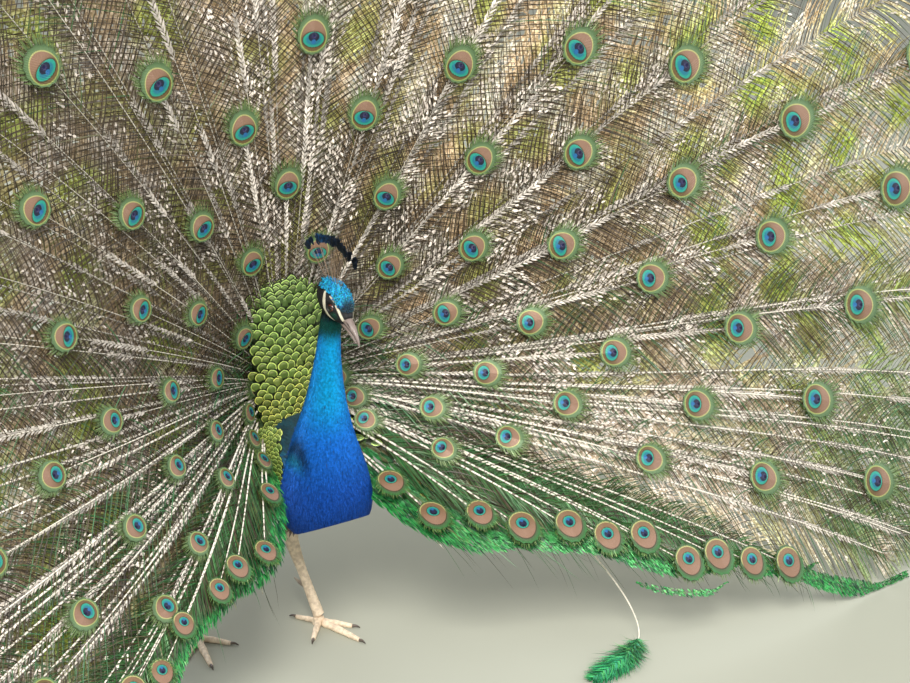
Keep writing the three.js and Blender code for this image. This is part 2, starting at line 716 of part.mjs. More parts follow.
/** One leg from the hip down, with its foot, spur and claws; side is 1 on the bird's left. */
function leg(name, side, foot, hock, hip) {
  const knee = hip.clone().lerp(hock, 0.5).add(new THREE.Vector3(0, -6, 4));
  const ankle = foot.clone().setZ(FOOT_PAD_HEIGHT + 4);
  const middle = hock.clone().lerp(ankle, 0.5).add(new THREE.Vector3(0, 2, 0));
  const thighPoints = [hip, knee, hock.clone().lerp(knee, 0.16)];
  const thigh = (grow) => solidOf(limb(thighPoints, THIGH_RADII, THIGH_SIDES, THIGH_STEPS, grow));
  const shankPoints = [hock.clone().lerp(knee, 0.1), hock.clone().lerp(ankle, 0.12), middle, ankle];
  const shankRadii = [HOCK_RADIUS, HOCK_RADIUS, SHANK_RADIUS, ANKLE_RADIUS];
  const shank = (grow) => solidOf(limb(shankPoints, shankRadii, SHANK_SIDES, SHANK_STEPS, grow));

  const pad = (grow) => {
    const height = FOOT_PAD_HEIGHT + grow;
    const drum = new THREE.CylinderGeometry(
      FOOT_PAD_TOP_RADIUS + grow,
      FOOT_PAD_RADIUS + grow,
      height,
      FOOT_PAD_SIDES,
    );
    drum.rotateX(Math.PI / 2);
    drum.translate(foot.x, foot.y, height / 2);
    return solidOf(drum);
  };
  let footSolid = pad(0);
  let clawCutter = null;
  const claws = [];
  for (const [toe, dx, dy, radius] of TOES) {
    const tip = foot.clone().add(new THREE.Vector3(side * dx, dy, TOE_TIP_RADIUS - TOE_SINK));
    const root = foot.clone().lerp(tip, TOE_ROOT_SHARE).setZ(radius - TOE_SINK);
    const half = root.clone().lerp(tip, 0.5).setZ(radius - 1.5 * TOE_SINK);
    const toeRadii = [radius, radius - TOE_SINK, TOE_TIP_RADIUS];
    footSolid = footSolid.add(solidOf(limb([root, half, tip], toeRadii, TOE_SIDES, 2)));
    const way = tip.clone().sub(root).setZ(0).normalize();
    const clawRoot = tip.clone().addScaledVector(way, -1).setZ(TOE_TIP_RADIUS - 0.6);
    const clawMiddle = tip.clone().addScaledVector(way, CLAW_LENGTH * 0.5).setZ(TOE_TIP_RADIUS + 0.4);
    const clawTip = tip.clone().addScaledVector(way, CLAW_LENGTH).setZ(1.4);
    const clawPoints = [clawRoot, clawMiddle, clawTip];
    const claw = (grow) => solidOf(limb(clawPoints, CLAW_RADII, CLAW_SIDES, 2, grow));
    claws.push([`claw_${name}_${toe}`, claw(0)]);
    clawCutter = clawCutter ? clawCutter.add(claw(GAP)) : claw(GAP);
  }
  footSolid = footSolid.subtract(floorCut).subtract(clawCutter);
  const shankSolid = shank(0).subtract(thigh(GAP)).subtract(pad(GAP));
  const spurRoot = middle.clone().lerp(ankle, 0.34);
  const back = new THREE.Vector3(-side * 0.42, 0.82, 0.38).normalize();
  const spurTip = spurRoot.clone().addScaledVector(back, SPUR_LENGTH + SHANK_RADIUS);
  const spurHalf = spurRoot.clone().lerp(spurTip, 0.55).add(new THREE.Vector3(0, 0, -1.5));
  const spurRadii = [SPUR_RADIUS + 0.8, SPUR_RADIUS, 0.9];
  const spur = solidOf(limb([spurRoot, spurHalf, spurTip], spurRadii, 7, 3)).subtract(shank(GAP));

  addPiece(`thigh_${name}`, geometryOf(thigh(0).subtract(bodyGrown)), paint.down());
  addPiece(`shank_${name}`, geometryOf(shankSolid), paint.leg());
  addPiece(`spur_${name}`, geometryOf(spur), paint.horn());
  addPiece(`foot_${name}`, geometryOf(footSolid), paint.leg());
  for (const [clawName, claw] of claws) {
    addPiece(clawName, geometryOf(claw.subtract(floorCut)), paint.claw());
  }
}

leg('left', 1, LEFT_FOOT, LEFT_HOCK, LEFT_HIP);
leg('right', -1, RIGHT_FOOT, RIGHT_HOCK, RIGHT_HIP);

// The origin is on the floor, under the middle of the whole bird's box.
const bounds = new THREE.Box3().setFromObject(peacock);
const centre = bounds.getCenter(new THREE.Vector3());
peacock.position.set(-centre.x, -centre.y, -bounds.min.z);

export default peacock;
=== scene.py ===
"""The looks of a life-size peacock in display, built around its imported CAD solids.

Metres. The bird faces -Y, its left side is +X. Shapes are worked out in the bird's own frame, whose
origin is on the floor between its feet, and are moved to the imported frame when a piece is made.
"""

import math

import bpy
import numpy as np
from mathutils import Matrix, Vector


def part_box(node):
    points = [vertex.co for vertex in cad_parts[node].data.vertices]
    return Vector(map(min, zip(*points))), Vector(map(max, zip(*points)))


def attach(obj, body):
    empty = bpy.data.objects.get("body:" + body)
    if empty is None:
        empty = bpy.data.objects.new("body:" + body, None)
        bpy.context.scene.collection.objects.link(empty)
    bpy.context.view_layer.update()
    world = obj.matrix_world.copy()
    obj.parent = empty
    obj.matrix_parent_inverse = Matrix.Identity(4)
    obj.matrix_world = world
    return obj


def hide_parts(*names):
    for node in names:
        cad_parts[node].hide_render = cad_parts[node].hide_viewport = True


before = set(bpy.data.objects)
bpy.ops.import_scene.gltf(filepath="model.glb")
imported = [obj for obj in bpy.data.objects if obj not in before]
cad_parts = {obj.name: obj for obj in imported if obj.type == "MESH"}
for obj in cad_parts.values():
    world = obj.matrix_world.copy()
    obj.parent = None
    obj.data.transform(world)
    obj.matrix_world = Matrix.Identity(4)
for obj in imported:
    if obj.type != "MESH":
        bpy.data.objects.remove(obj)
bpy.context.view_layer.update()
MM = 0.001

# Where the bird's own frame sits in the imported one: the left eye's centre tells it.
EYE_PLACE = np.array([12.8, -152, 574.5]) * MM
EYE_RADIUS = 6.3 * MM
eye_low, eye_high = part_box("eye_left")
BIRD = (np.array(eye_low) + np.array(eye_high)) / 2 - EYE_PLACE

# ---------------------------------------------------------------- the bird's main forms, as in the solids

# The train's surface: where it starts, how far round from upright its lower rims lie, how far it
# reaches upright and at a rim, and how far its sides wrap forward.
TRAIN_ROOT = np.array([0, 60, 340]) * MM
TRAIN_RIM_ANGLE = math.radians(111)
TRAIN_REACH_TOP = 1.290
TRAIN_REACH_RIM = 0.925
TRAIN_REACH_POWER = 9
TRAIN_WRAP_TOP = 0.100
TRAIN_WRAP_RIM = 0.520
TRAIN_WRAP_LENGTH = 0.330
# How much of the fan's plane its bake map takes in, in metres.
FAN_MAP_WIDTH = 2.75
FAN_MAP_HEIGHT = 1.75

# y, z, half width, half height, squareness of the section
TRUNK_STATIONS = [
    [-105, 300, 42, 52, 2],
    [-60, 300, 68, 80, 2],
    [0, 299, 80, 88, 2],
    [65, 301, 75, 80, 2],
    [120, 314, 57, 58, 2],
    [160, 332, 34, 35, 2],
    [186, 344, 14, 16, 2],
]
NECK_STATIONS = [
    [-92, 222, 58, 50, 2.6],
    [-94, 240, 66, 62, 2.6],
    [-96, 272, 68, 68, 2.5],
    [-98, 316, 60, 61, 2.3],
    [-101, 368, 44, 46, 2.1],
    [-107, 425, 30, 32, 2],
    [-114, 480, 21.5, 23, 2],
    [-121, 524, 17.5, 20, 2],
    [-127, 548, 17, 20, 2],
    [-134, 572, 15, 17, 2],
]
HEAD_STATIONS = [
    [-103, 587, 8, 10, 2],
    [-113, 586, 15, 20, 2],
    [-131, 580, 19.5, 26.5, 2],
    [-149, 572, 18.5, 24, 2],
    [-162, 563.5, 13.5, 17, 2],
    [-170.5, 557.5, 9, 10.5, 2],
]
UPPER_BILL_STATIONS = [
    [-170.5, 558, 7.6, 5.2, 2],
    [-179, 553, 6.2, 4.8, 2],
    [-189, 544.5, 4.3, 3.9, 2],
    [-197, 534, 2.2, 2.4, 2],
    [-199.5, 527.5, 0.9, 1, 2],
]
LOWER_BILL_STATIONS = [
    [-163, 552, 7, 4, 2],
    [-176, 545.5, 5.4, 3.6, 2],
    [-186, 537.5, 3.6, 2.8, 2],
    [-193, 530, 1.5, 1.4, 2],
]
UNDERTAIL_STATIONS = [
    [92, 262, 44, 38, 2],
    [140, 266, 54, 44, 2],
    [188, 286, 47, 38, 2],
    [226, 318, 28, 22, 2],
    [242, 342, 10, 9, 2],
]


def through(stations, t):
    """Smooth values through a few stations: each t from 0 to 1 gives one interpolated row."""
    table = np.asarray(stations, float)
    last = len(table) - 1
    place = np.clip(np.asarray(t, float), 0, 1) * last
    i = np.minimum(place.astype(int), last - 1)
    f = (place - i)[..., None]
    before, here = table[np.maximum(i - 1, 0)], table[i]
    after, beyond = table[i + 1], table[np.minimum(i + 2, last)]
    slope_in, slope_out = (after - before) / 2, (beyond - here) / 2
    f2, f3 = f * f, f * f * f
    start = here * (2 * f3 - 3 * f2 + 1) + after * (3 * f2 - 2 * f3)
    return start + slope_in * (f3 - 2 * f2 + f) + slope_out * (f3 - f2)


def unit(v):
    """Vectors of length one."""
    return v / np.maximum(np.linalg.norm(v, axis=-1, keepdims=True), 1e-12)


def smoothstep(low, high, x):
    """0 below low, 1 above high, and a smooth step between."""
    t = np.clip((x - low) / (high - low), 0, 1)
    return t * t * (3 - 2 * t)


def mix(a, b, share):
    """Between a and b by share, for colours or numbers."""
    share = np.asarray(share, float)
    a, b = np.asarray(a, float), np.asarray(b, float)
    if a.ndim or b.ndim:
        share = share[..., None]
    return a + (b - a) * share


def by_t(*stops):
    """A number that changes smoothly along t, through (t, value in millimetres) stops."""
    ts, values = zip(*stops)
    return lambda t: np.interp(t, ts, values) * MM


def constant(value):
    """The same number of millimetres for every t."""
    return by_t((0, value))


# ---------------------------------------------------------------- meshes from arrays


class Mesh:
    """Points, triangles, colours and bake places of many small shapes, gathered into one mesh."""

    def __init__(self):
        self.points, self.faces, self.tints, self.locals, self.places = [], [], [], [], []
        self.count = 0

    def add(self, points, faces, tint, place, local=None):
        """Adds points, faces between them, a colour and a bake place for each point or for all, and each
        point's place in its own feather."""
        points = np.reshape(points, (-1, 3))
        n = len(points)
        self.points.append(points)
        self.faces.append(faces + self.count)
        self.tints.append(np.broadcast_to(np.reshape(tint, (-1, 3)), (n, 3)))
        self.places.append(np.broadcast_to(np.reshape(place, (-1, 2)), (n, 2)))
        self.locals.append(np.zeros((n, 3)) if local is None else np.reshape(local, (-1, 3)))
        self.count += n


def make(name, mesh, material, replaces=()):
    """A Blender object from a Mesh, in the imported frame, riding on the body."""
    points = np.concatenate(mesh.points) + BIRD
    faces = np.concatenate(mesh.faces)
    data = bpy.data.meshes.new(name)
    data.vertices.add(len(points))
    data.vertices.foreach_set("co", points.astype(np.float32).ravel())
    data.loops.add(faces.size)
    data.loops.foreach_set("vertex_index", faces.astype(np.int32).ravel())
    data.polygons.add(len(faces))
    data.polygons.foreach_set("loop_start", np.arange(0, faces.size, 3, dtype=np.int32))
    data.polygons.foreach_set("loop_total", np.full(len(faces), 3, dtype=np.int32))
    data.polygons.foreach_set("use_smooth", np.ones(len(faces), dtype=bool))
    data.update(calc_edges=True)
    tints = np.concatenate(mesh.tints)
    colour = data.attributes.new("tint", "FLOAT_COLOR", "POINT")
    rgba = np.concatenate([tints, np.ones((len(tints), 1))], axis=1)
    colour.data.foreach_set("color", rgba.astype(np.float32).ravel())
    local = data.attributes.new("local", "FLOAT_VECTOR", "POINT")
    local.data.foreach_set("vector", np.concatenate(mesh.locals).astype(np.float32).ravel())
    places = np.concatenate(mesh.places)
    bake = data.uv_layers.new(name="OFBake")
    bake.data.foreach_set("uv", places[faces.ravel()].astype(np.float32).ravel())
    data.materials.append(material)
    piece = bpy.data.objects.new(name, data)
    bpy.context.scene.collection.objects.link(piece)
    dress(piece, replaces)
    return piece


def dress(piece, replaces):
    """Hides the solids of the nodes a piece stands for, and lets it ride on the body."""
    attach(piece, "root")
    for node in replaces:
        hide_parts(node)


def strip_faces(count, rows, columns):
    """Triangles of count separate grids of rows by columns points."""
    j, i = np.meshgrid(np.arange(rows - 1), np.arange(columns - 1), indexing="ij")
    a = (j * columns + i).ravel()
    quads = np.stack([a, a + 1, a + 1 + columns, a + columns], axis=1)
    triangles = np.concatenate([quads[:, [0, 1, 2]], quads[:, [0, 2, 3]]])
    shift = np.arange(count)[:, None, None] * (rows * columns)
    return (triangles[None] + shift).reshape(-1, 3)


def ribbon_faces(count, rows):
    """Triangles of count separate ribbons: rows pairs of points, then a single tip point."""
    faces = []
    for j in range(rows - 1):
        a = 2 * j
        faces += [[a, a + 1, a + 3], [a, a + 3, a + 2]]
    faces.append([2 * rows - 2, 2 * rows - 1, 2 * rows])
    shift = np.arange(count)[:, None, None] * (2 * rows + 1)
    return (np.array(faces)[None] + shift).reshape(-1, 3)


# How large each feather's patch is on the bake map.
PATCH = 0.003
# How wide a vane still is at its very tip, as a share of its full width.
VANE_TIP_WIDTH = 0.06


def add_ribbons(mesh, centres, halves, tints, places):
    """Adds ribbons along centres (n, rows + 1, 3), whose last point is the tip, with half width
    vectors (n, rows, 3), a colour at each centre (n, rows + 1, 3) and a bake place each (n, 2)."""
    n, rows = halves.shape[:2]
    pairs = np.stack([centres[:, :-1] - halves, centres[:, :-1] + halves], axis=2)
    points = np.concatenate([pairs.reshape(n, 2 * rows, 3), centres[:, -1:]], axis=1)
    colour = np.concatenate([np.repeat(tints[:, :-1], 2, axis=1), tints[:, -1:]], axis=1)
    along = np.concatenate([np.repeat(np.arange(rows), 2), [rows]]) / rows
    across = np.concatenate([np.tile([0.0, 1.0], rows), [0.5]])
    patch = np.stack([across, along], axis=1) * PATCH
    place = places[:, None] + patch[None]
    local = np.zeros((n, 2 * rows + 1, 3))
    local[..., 0] = across - 0.5
    local[..., 1] = along
    mesh.add(points, ribbon_faces(n, rows), colour, place, local)


def add_vanes(mesh, roots, ways, normals, lengths, widths, tints, places, lift=0.2, curl=0.0,
              rows=3, columns=3, roundness=0.5, cup=0.25, start_width=0.45):
    """Adds small feathers: each is a cupped vane from its root along its way, lifting off the skin,
    with its width growing from the root and rounded off at the tip."""
    n = len(roots)
    s = np.linspace(0, 1, rows)
    across = np.linspace(-1, 1, columns)
    side = unit(np.cross(ways, normals))
    profile = (start_width + (1 - start_width) * np.sin(np.clip(s * 1.25, 0, 1) * math.pi / 2))
    tip = np.sqrt(np.clip(1 - np.clip((s - roundness) / (1 - roundness), 0, 1) ** 2, 0, 1))
    profile = profile * np.maximum(tip, VANE_TIP_WIDTH)
    rise = lift * s - curl * s * s
    spine = (roots[:, None] + ways[:, None] * (lengths[:, None] * s)[..., None]
             + normals[:, None] * (lengths[:, None] * rise)[..., None])
    broad, span = widths[:, None, None, None], across[None, None, :, None]
    profile = profile[None, :, None, None]
    offset = side[:, None, None] * (broad * 0.5 * profile * span)
    sink = normals[:, None, None] * (-cup * broad * profile * span ** 2)
    points = spine[:, :, None] + offset + sink
    colour = np.broadcast_to(tints[:, None, None], points.shape)
    local = np.zeros((n, rows, columns, 3))
    local[..., 0] = across
    local[..., 1] = s[None, :, None]
    local[..., 2] = np.random.default_rng(7).random(n)[:, None, None]
    patch = np.stack([(local[..., 0] + 1) / 2, local[..., 1]], axis=-1) * PATCH
    mesh.add(points, strip_faces(n, rows, columns), colour, places[:, None, None] + patch, local)


# ---------------------------------------------------------------- lofted forms

# How far a loft's closing point stands out, as a share of its end's half size.
LOFT_BLUNTNESS = 0.3


def loft_point(stations, t, angle, grow):
    """Points on a loft in the bird's mid plane: t runs along it and angle round it from its left."""
    t, angle = np.broadcast_arrays(np.asarray(t, float), np.asarray(angle, float))
    row = through(stations, t) * MM
    step = 0.01
    ahead = through(stations, t + step)[..., :2] - through(stations, t - step)[..., :2]
    along = unit(np.stack([np.zeros(t.shape), ahead[..., 0], ahead[..., 1]], axis=-1))
    across = np.zeros(along.shape)
    across[..., 0] = 1
    up = np.cross(along, across)
    power = 2 / (row[..., 4] / MM)
    c, s = np.cos(angle), np.sin(angle)
    sideways = np.sign(c) * np.abs(c) ** power * (row[..., 2] + grow)
    upward = np.sign(s) * np.abs(s) ** power * (row[..., 3] + grow)
    centre = np.stack([np.zeros(t.shape), row[..., 0], row[..., 1]], axis=-1)
    return centre + across * sideways[..., None] + up * upward[..., None], along


def loft_frame(stations, t, angle, grow):
    """Points on a loft with the way along it and the outward normal there."""
    point = loft_point(stations, t, angle, grow)[0]
    step = 0.004
    ahead = loft_point(stations, t + step, angle, grow)[0] - loft_point(stations, t - step, angle, grow)[0]
    turn = loft_point(stations, t, angle + step, grow)[0] - loft_point(stations, t, angle - step, grow)[0]
    normal = unit(np.cross(turn, ahead))
    centre = through(stations, t) * MM
    out = point - np.stack([np.zeros(centre.shape[:-1]), centre[..., 0], centre[..., 1]], axis=-1)
    flip = np.sign(np.sum(normal * out, axis=-1, keepdims=True))
    return point, unit(ahead), normal * np.where(flip == 0, 1, flip)


def add_tube(mesh, rings, ends, t, angle, tint):
    """Adds a tube from rings of points, closed by a point beyond each end."""
    steps, sides = rings.shape[0] - 1, rings.shape[1] - 1
    n = rings.shape[0] * rings.shape[1]
    k = np.arange(sides)
    top = steps * (sides + 1)
    faces = [strip_faces(1, steps + 1, sides + 1),
             np.stack([np.full(sides, n), k + 1, k], axis=1),
             np.stack([np.full(sides, n + 1), top + k, top + k + 1], axis=1)]
    places = np.concatenate([ring_places(t, angle), [[0.5, 0], [0.5, 1]]])
    mesh.add(np.concatenate([rings.reshape(-1, 3), ends]), np.concatenate(faces), tint, places, flat(places))


def ring_places(t, angle):
    """Bake places of points on rings: how far round across the map, and t up it."""
    return np.stack(np.broadcast_arrays(angle / (2 * math.pi), t), axis=-1).reshape(-1, 2)


def flat(places):
    """Bake places as a feather's own coordinates."""
    return np.concatenate([places, np.zeros((len(places), 1))], axis=1)


def add_loft(mesh, stations, sides, steps, grow=0.0, tint=(1, 1, 1), shape=None):
    """Adds a closed loft with fine rings. shape(points, t, angle) may move its points."""
    t = np.linspace(0, 1, steps + 1)[:, None]
    angle = np.linspace(0, 2 * math.pi, sides + 1)[None, :]
    points, along = loft_point(stations, t, angle, grow)
    if shape is not None:
        points = shape(points, *np.broadcast_arrays(t, angle))
    points[:, -1] = points[:, 0]
    ends = []
    for i, way in ((0, -1), (-1, 1)):
        size = np.ptp(points[i], axis=0).max()
        ends.append(points[i].mean(axis=0) + way * along[i, 0] * LOFT_BLUNTNESS * size * 0.5)
    add_tube(mesh, points, ends, t, angle, tint)


def limb_path(points, radii, steps):
    """Centres, radii and ring frames along a round limb through points."""
    rows = np.concatenate([np.asarray(points, float), np.asarray(radii, float)[:, None]], axis=1)
    t = np.linspace(0, 1, steps + 1)
    row = through(rows, t)
    along = unit(through(rows, t + 0.01)[:, :3] - through(rows, t - 0.01)[:, :3])
    side = unit(np.cross(np.array([1, 0.3, 0.2]), along))
    other = np.cross(along, side)
    return t, row[:, :3], row[:, 3], along, side, other


def add_limb(mesh, points, radii, sides, steps, tint=(1, 1, 1), bulge=None, blunt=0.5):
    """Adds a round limb. bulge(t, angle) gives how far each point stands out, in metres."""
    t, centre, radius, along, side, other = limb_path(points, radii, steps)
    angle = np.linspace(0, 2 * math.pi, sides + 1)[None, :]
    spread = np.broadcast_to(radius[:, None], (steps + 1, sides + 1)).copy()
    if bulge is not None:
        spread += bulge(*np.broadcast_arrays(t[:, None], angle))
    spread[:, -1] = spread[:, 0]
    ring = (side[:, None] * np.cos(angle)[..., None] + other[:, None] * np.sin(angle)[..., None])
    ends = [centre[0] - along[0] * blunt * radius[0], centre[-1] + along[-1] * blunt * radius[-1]]
    add_tube(mesh, centre[:, None] + ring * spread[..., None], ends, t[:, None], angle, tint)


# ---------------------------------------------------------------- the train's surface


def fan_y(x, z):
    """How far back the train's surface lies at x and z."""
    rise = z - TRAIN_ROOT[2]
    reach = np.hypot(x, rise)
    share = np.abs(np.arctan2(x, rise)) / TRAIN_RIM_ANGLE
    wrap = TRAIN_WRAP_TOP + (TRAIN_WRAP_RIM - TRAIN_WRAP_TOP) * share ** 2
    return TRAIN_ROOT[1] - wrap * (1 - np.exp(-reach / TRAIN_WRAP_LENGTH))


def fan_lift(x, z, lift):
    """Points of the train at x and z, lifted off its surface towards its front."""
    step = 0.002
    slope_x = (fan_y(x + step, z) - fan_y(x - step, z)) / (2 * step)
    slope_z = (fan_y(x, z + step) - fan_y(x, z - step)) / (2 * step)
    front = unit(np.stack([slope_x, -np.ones_like(slope_x), slope_z], axis=-1))
    base = np.stack([x, fan_y(x, z), z], axis=-1)
    return base + front * np.asarray(lift)[..., None]


def fan_reach(angle):
    """How far the train reaches at an angle from upright."""
    share = np.minimum(np.abs(angle) / TRAIN_RIM_ANGLE, 1)
    return TRAIN_REACH_RIM + (TRAIN_REACH_TOP - TRAIN_REACH_RIM) * (1 - share ** TRAIN_REACH_POWER)


def fan_place(x, z):
    """The place of points of the train on its bake map."""
    return np.stack([0.5 + x / FAN_MAP_WIDTH, 0.02 + z / FAN_MAP_HEIGHT], axis=-1)


def walk(x, z, heading, step):
    """Places along curved lines in the fan's plane: from each start, one step along each heading."""
    start = np.zeros((len(x), 1))
    px = x[:, None] + np.concatenate([start, np.cumsum(np.sin(heading) * step, axis=1)], axis=1)
    pz = z[:, None] + np.concatenate([start, np.cumsum(np.cos(heading) * step, axis=1)], axis=1)
    return px, pz


def across_fan(heading, out):
    """Ways across barbs that run along headings in the fan's plane, tipped out of it."""
    return unit(np.stack([np.cos(heading), out + 0 * heading, -np.sin(heading)], axis=-1))


# ---------------------------------------------------------------- materials


def new_material(name, roughness, metallic=0.0, sheen=0.0, specular=0.5, coat=0.0):
    """A node material with its main shader, ready for a colour to be linked."""
    material = bpy.data.materials.new(name)
    material.use_nodes = True
    shader = material.node_tree.nodes["Principled BSDF"]
    shader.inputs["Roughness"].default_value = roughness
    shader.inputs["Metallic"].default_value = metallic
    shader.inputs["Sheen Weight"].default_value = sheen
    shader.inputs["Specular IOR Level"].default_value = specular
    shader.inputs["Coat Weight"].default_value = coat
    return material, material.node_tree, shader


def node(tree, kind, **settings):
    """A new node with some of its settings or input values."""
    made = tree.nodes.new(kind)
    for key, value in settings.items():
        if hasattr(made, key):
            setattr(made, key, value)
        else:
            made.inputs[key.replace("_", " ")].default_value = value
    return made


def attribute(tree, name):
    """A node that reads a mesh attribute."""
    return node(tree, "ShaderNodeAttribute", attribute_name=name, attribute_type="GEOMETRY")


def math_node(tree, operation, a, b=None):
    """A math node on sockets or numbers; returns its output."""
    made = tree.nodes.new("ShaderNodeMath")
    made.operation = operation
    for i, value in enumerate((a, b)):
        if isinstance(value, (int, float)):
            made.inputs[i].default_value = value
        elif value is not None:
            tree.links.new(value, made.inputs[i])
    return made.outputs[0]


def times(tree, a, b):
    """One socket or number times another."""
    return math_node(tree, "MULTIPLY", a, b)


def plus(tree, a, b):
    """One socket or number plus another."""
    return math_node(tree, "ADD", a, b)


def minus(tree, a, b):
    """One socket or number less another."""
    return math_node(tree, "SUBTRACT", a, b)


def wave_node(tree, value, count):
    """A sine wave of a socket times a count."""
    return math_node(tree, "SINE", times(tree, value, count))


def mix_colour(tree, share, a, b, blend="MIX"):
    """Mixes two colours by a share; each is a socket or a tuple. Returns the output."""
    made = tree.nodes.new("ShaderNodeMix")
    made.data_type = "RGBA"
    made.blend_type = blend
    for socket, value in ((made.inputs[0], share), (made.inputs[6], a), (made.inputs[7], b)):
        if isinstance(value, (int, float)):
            socket.default_value = value
        elif isinstance(value, (tuple, list)):
            socket.default_value = (*value, 1)
        else:
            tree.links.new(value, socket)
    return made.outputs[2]


def multiplied(tree, a, b):
    """One colour times another."""
    return mix_colour(tree, 1.0, a, b, "MULTIPLY")


def tint_of(tree):
    """The colour that a mesh carries at its points."""
    return attribute(tree, "tint").outputs["Color"]


def own_place(tree):
    """A feather's own coordinates: the vector, then across it, along it and its chance number."""
    local = attribute(tree, "local").outputs["Vector"]
    split = tree.nodes.new("ShaderNodeSeparateXYZ")
    tree.links.new(local, split.inputs[0])
    return local, *split.outputs


def noise(tree, scale, detail, vector=None, stretch=None):
    """Noise in the bird's own space, stretched where asked; returns its factor output."""
    made = node(tree, "ShaderNodeTexNoise", Scale=scale, Detail=detail)
    if vector is None:
        vector = tree.nodes.new("ShaderNodeTexCoord").outputs["Object"]
    if stretch is not None:
        mapping = tree.nodes.new("ShaderNodeMapping")
        mapping.inputs["Scale"].default_value = stretch
        tree.links.new(vector, mapping.inputs["Vector"])
        vector = mapping.outputs["Vector"]
    tree.links.new(vector, made.inputs["Vector"])
    return made.outputs["Fac"]


def step_node(tree, value, low, high):
    """A smooth step from 0 to 1 as value goes from low to high."""
    made = tree.nodes.new("ShaderNodeMapRange")
    made.interpolation_type = "SMOOTHSTEP"
    made.inputs["From Min"].default_value = low
    made.inputs["From Max"].default_value = high
    tree.links.new(value, made.inputs["Value"])
    return made.outputs["Result"]


def add_bump(tree, shader, height, strength, distance):
    """Bump from a height socket, with its depth in metres."""
    bump = tree.nodes.new("ShaderNodeBump")
    bump.inputs["Strength"].default_value = strength
    bump.inputs["Distance"].default_value = distance
    tree.links.new(height, bump.inputs["Height"])
    tree.links.new(bump.outputs["Normal"], shader.inputs["Normal"])


def feather_material(name, roughness, metallic=0.0, sheen=0.0, vary=0.25, scale=90.0, barbs=0.35,
                     specular=0.5):
    """A material coloured by the tint of each feather, mottled, with barb lines as bump."""
    material, tree, shader = new_material(name, roughness, metallic, sheen, specular)
    tint = tint_of(tree)
    shade = step_node(tree, noise(tree, scale, 3.0), 0.3, 0.7)
    dark = multiplied(tree, tint, (1 - vary,) * 3)
    light = multiplied(tree, tint, (1 + vary,) * 3)
    tree.links.new(mix_colour(tree, shade, dark, light), shader.inputs["Base Color"])
    _, x, y, _ = own_place(tree)
    slant = math_node(tree, "ABSOLUTE", x)
    line = minus(tree, y, times(tree, slant, 0.35))
    add_bump(tree, shader, wave_node(tree, line, 70.0), barbs, 0.0004)
    return material


def ellipse(tree, x, y, centre, across, along):
    """A field that is 1 on an ellipse in a feather's own plane, and less inside it."""
    dx = math_node(tree, "DIVIDE", minus(tree, x, centre[0]), across)
    dy = math_node(tree, "DIVIDE", minus(tree, y, centre[1]), along)
    squares = plus(tree, times(tree, dx, dx), times(tree, dy, dy))
    return math_node(tree, "SQRT", squares)


# Colours of the train's eyes, from the middle outward.
PUPIL = (0.003, 0.005, 0.030)
PUPIL_GLEAM = (0.016, 0.012, 0.070)
NOTCH_BLUE = (0.012, 0.130, 0.340)
RING_BLUE = (0.010, 0.170, 0.250)
RING_TURQUOISE = (0.014, 0.310, 0.225)
COPPER_DARK = (0.055, 0.036, 0.014)
COPPER = (0.140, 0.086, 0.030)
COPPER_PALE = (0.270, 0.155, 0.100)
GOLD = (0.440, 0.430, 0.160)
EYE_GREEN = (0.060, 0.120, 0.042)
EYE_GREEN_PALE = (0.120, 0.200, 0.085)
RIM_GREEN = (0.034, 0.165, 0.036)
RIM_COPPER = (0.290, 0.165, 0.105)
RIM_COPPER_LOW = (0.220, 0.125, 0.062)
# Pupil and ring as centre along the feather, half width across and half width along, for each kind of
# eye, in units of the gold line's half width.
EYE_KINDS = {
    "upper": ((-0.06, 0.43, 0.33), (-0.23, 0.77, 0.50)),
    "side": ((-0.13, 0.36, 0.32), (-0.26, 0.61, 0.50)),
    "rim": ((-0.10, 0.30, 0.28), (-0.18, 0.46, 0.42)),
}
# Where each kind of eye has its place on the bake map.
EYE_PATCHES = {"upper": (0.25, 0.25), "side": (0.75, 0.25), "rim": (0.25, 0.25)}
EYE_PATCH_SCALE = 0.16
EYE_THICKNESS = 0.8 * MM
# How finely an eye's disc is divided, and how many barbs stand round it.
EYE_RINGS = 9
EYE_SIDES = 28
FRINGE_BARBS = 150
# The colour of an eye's back.
EYE_BACK = (0.10, 0.085, 0.06)
# How far each kind of eye stands out from its feather's layer.
EYE_LIFT = {"upper": 6.0 * MM, "side": 6.0 * MM, "rim": 9.0 * MM}


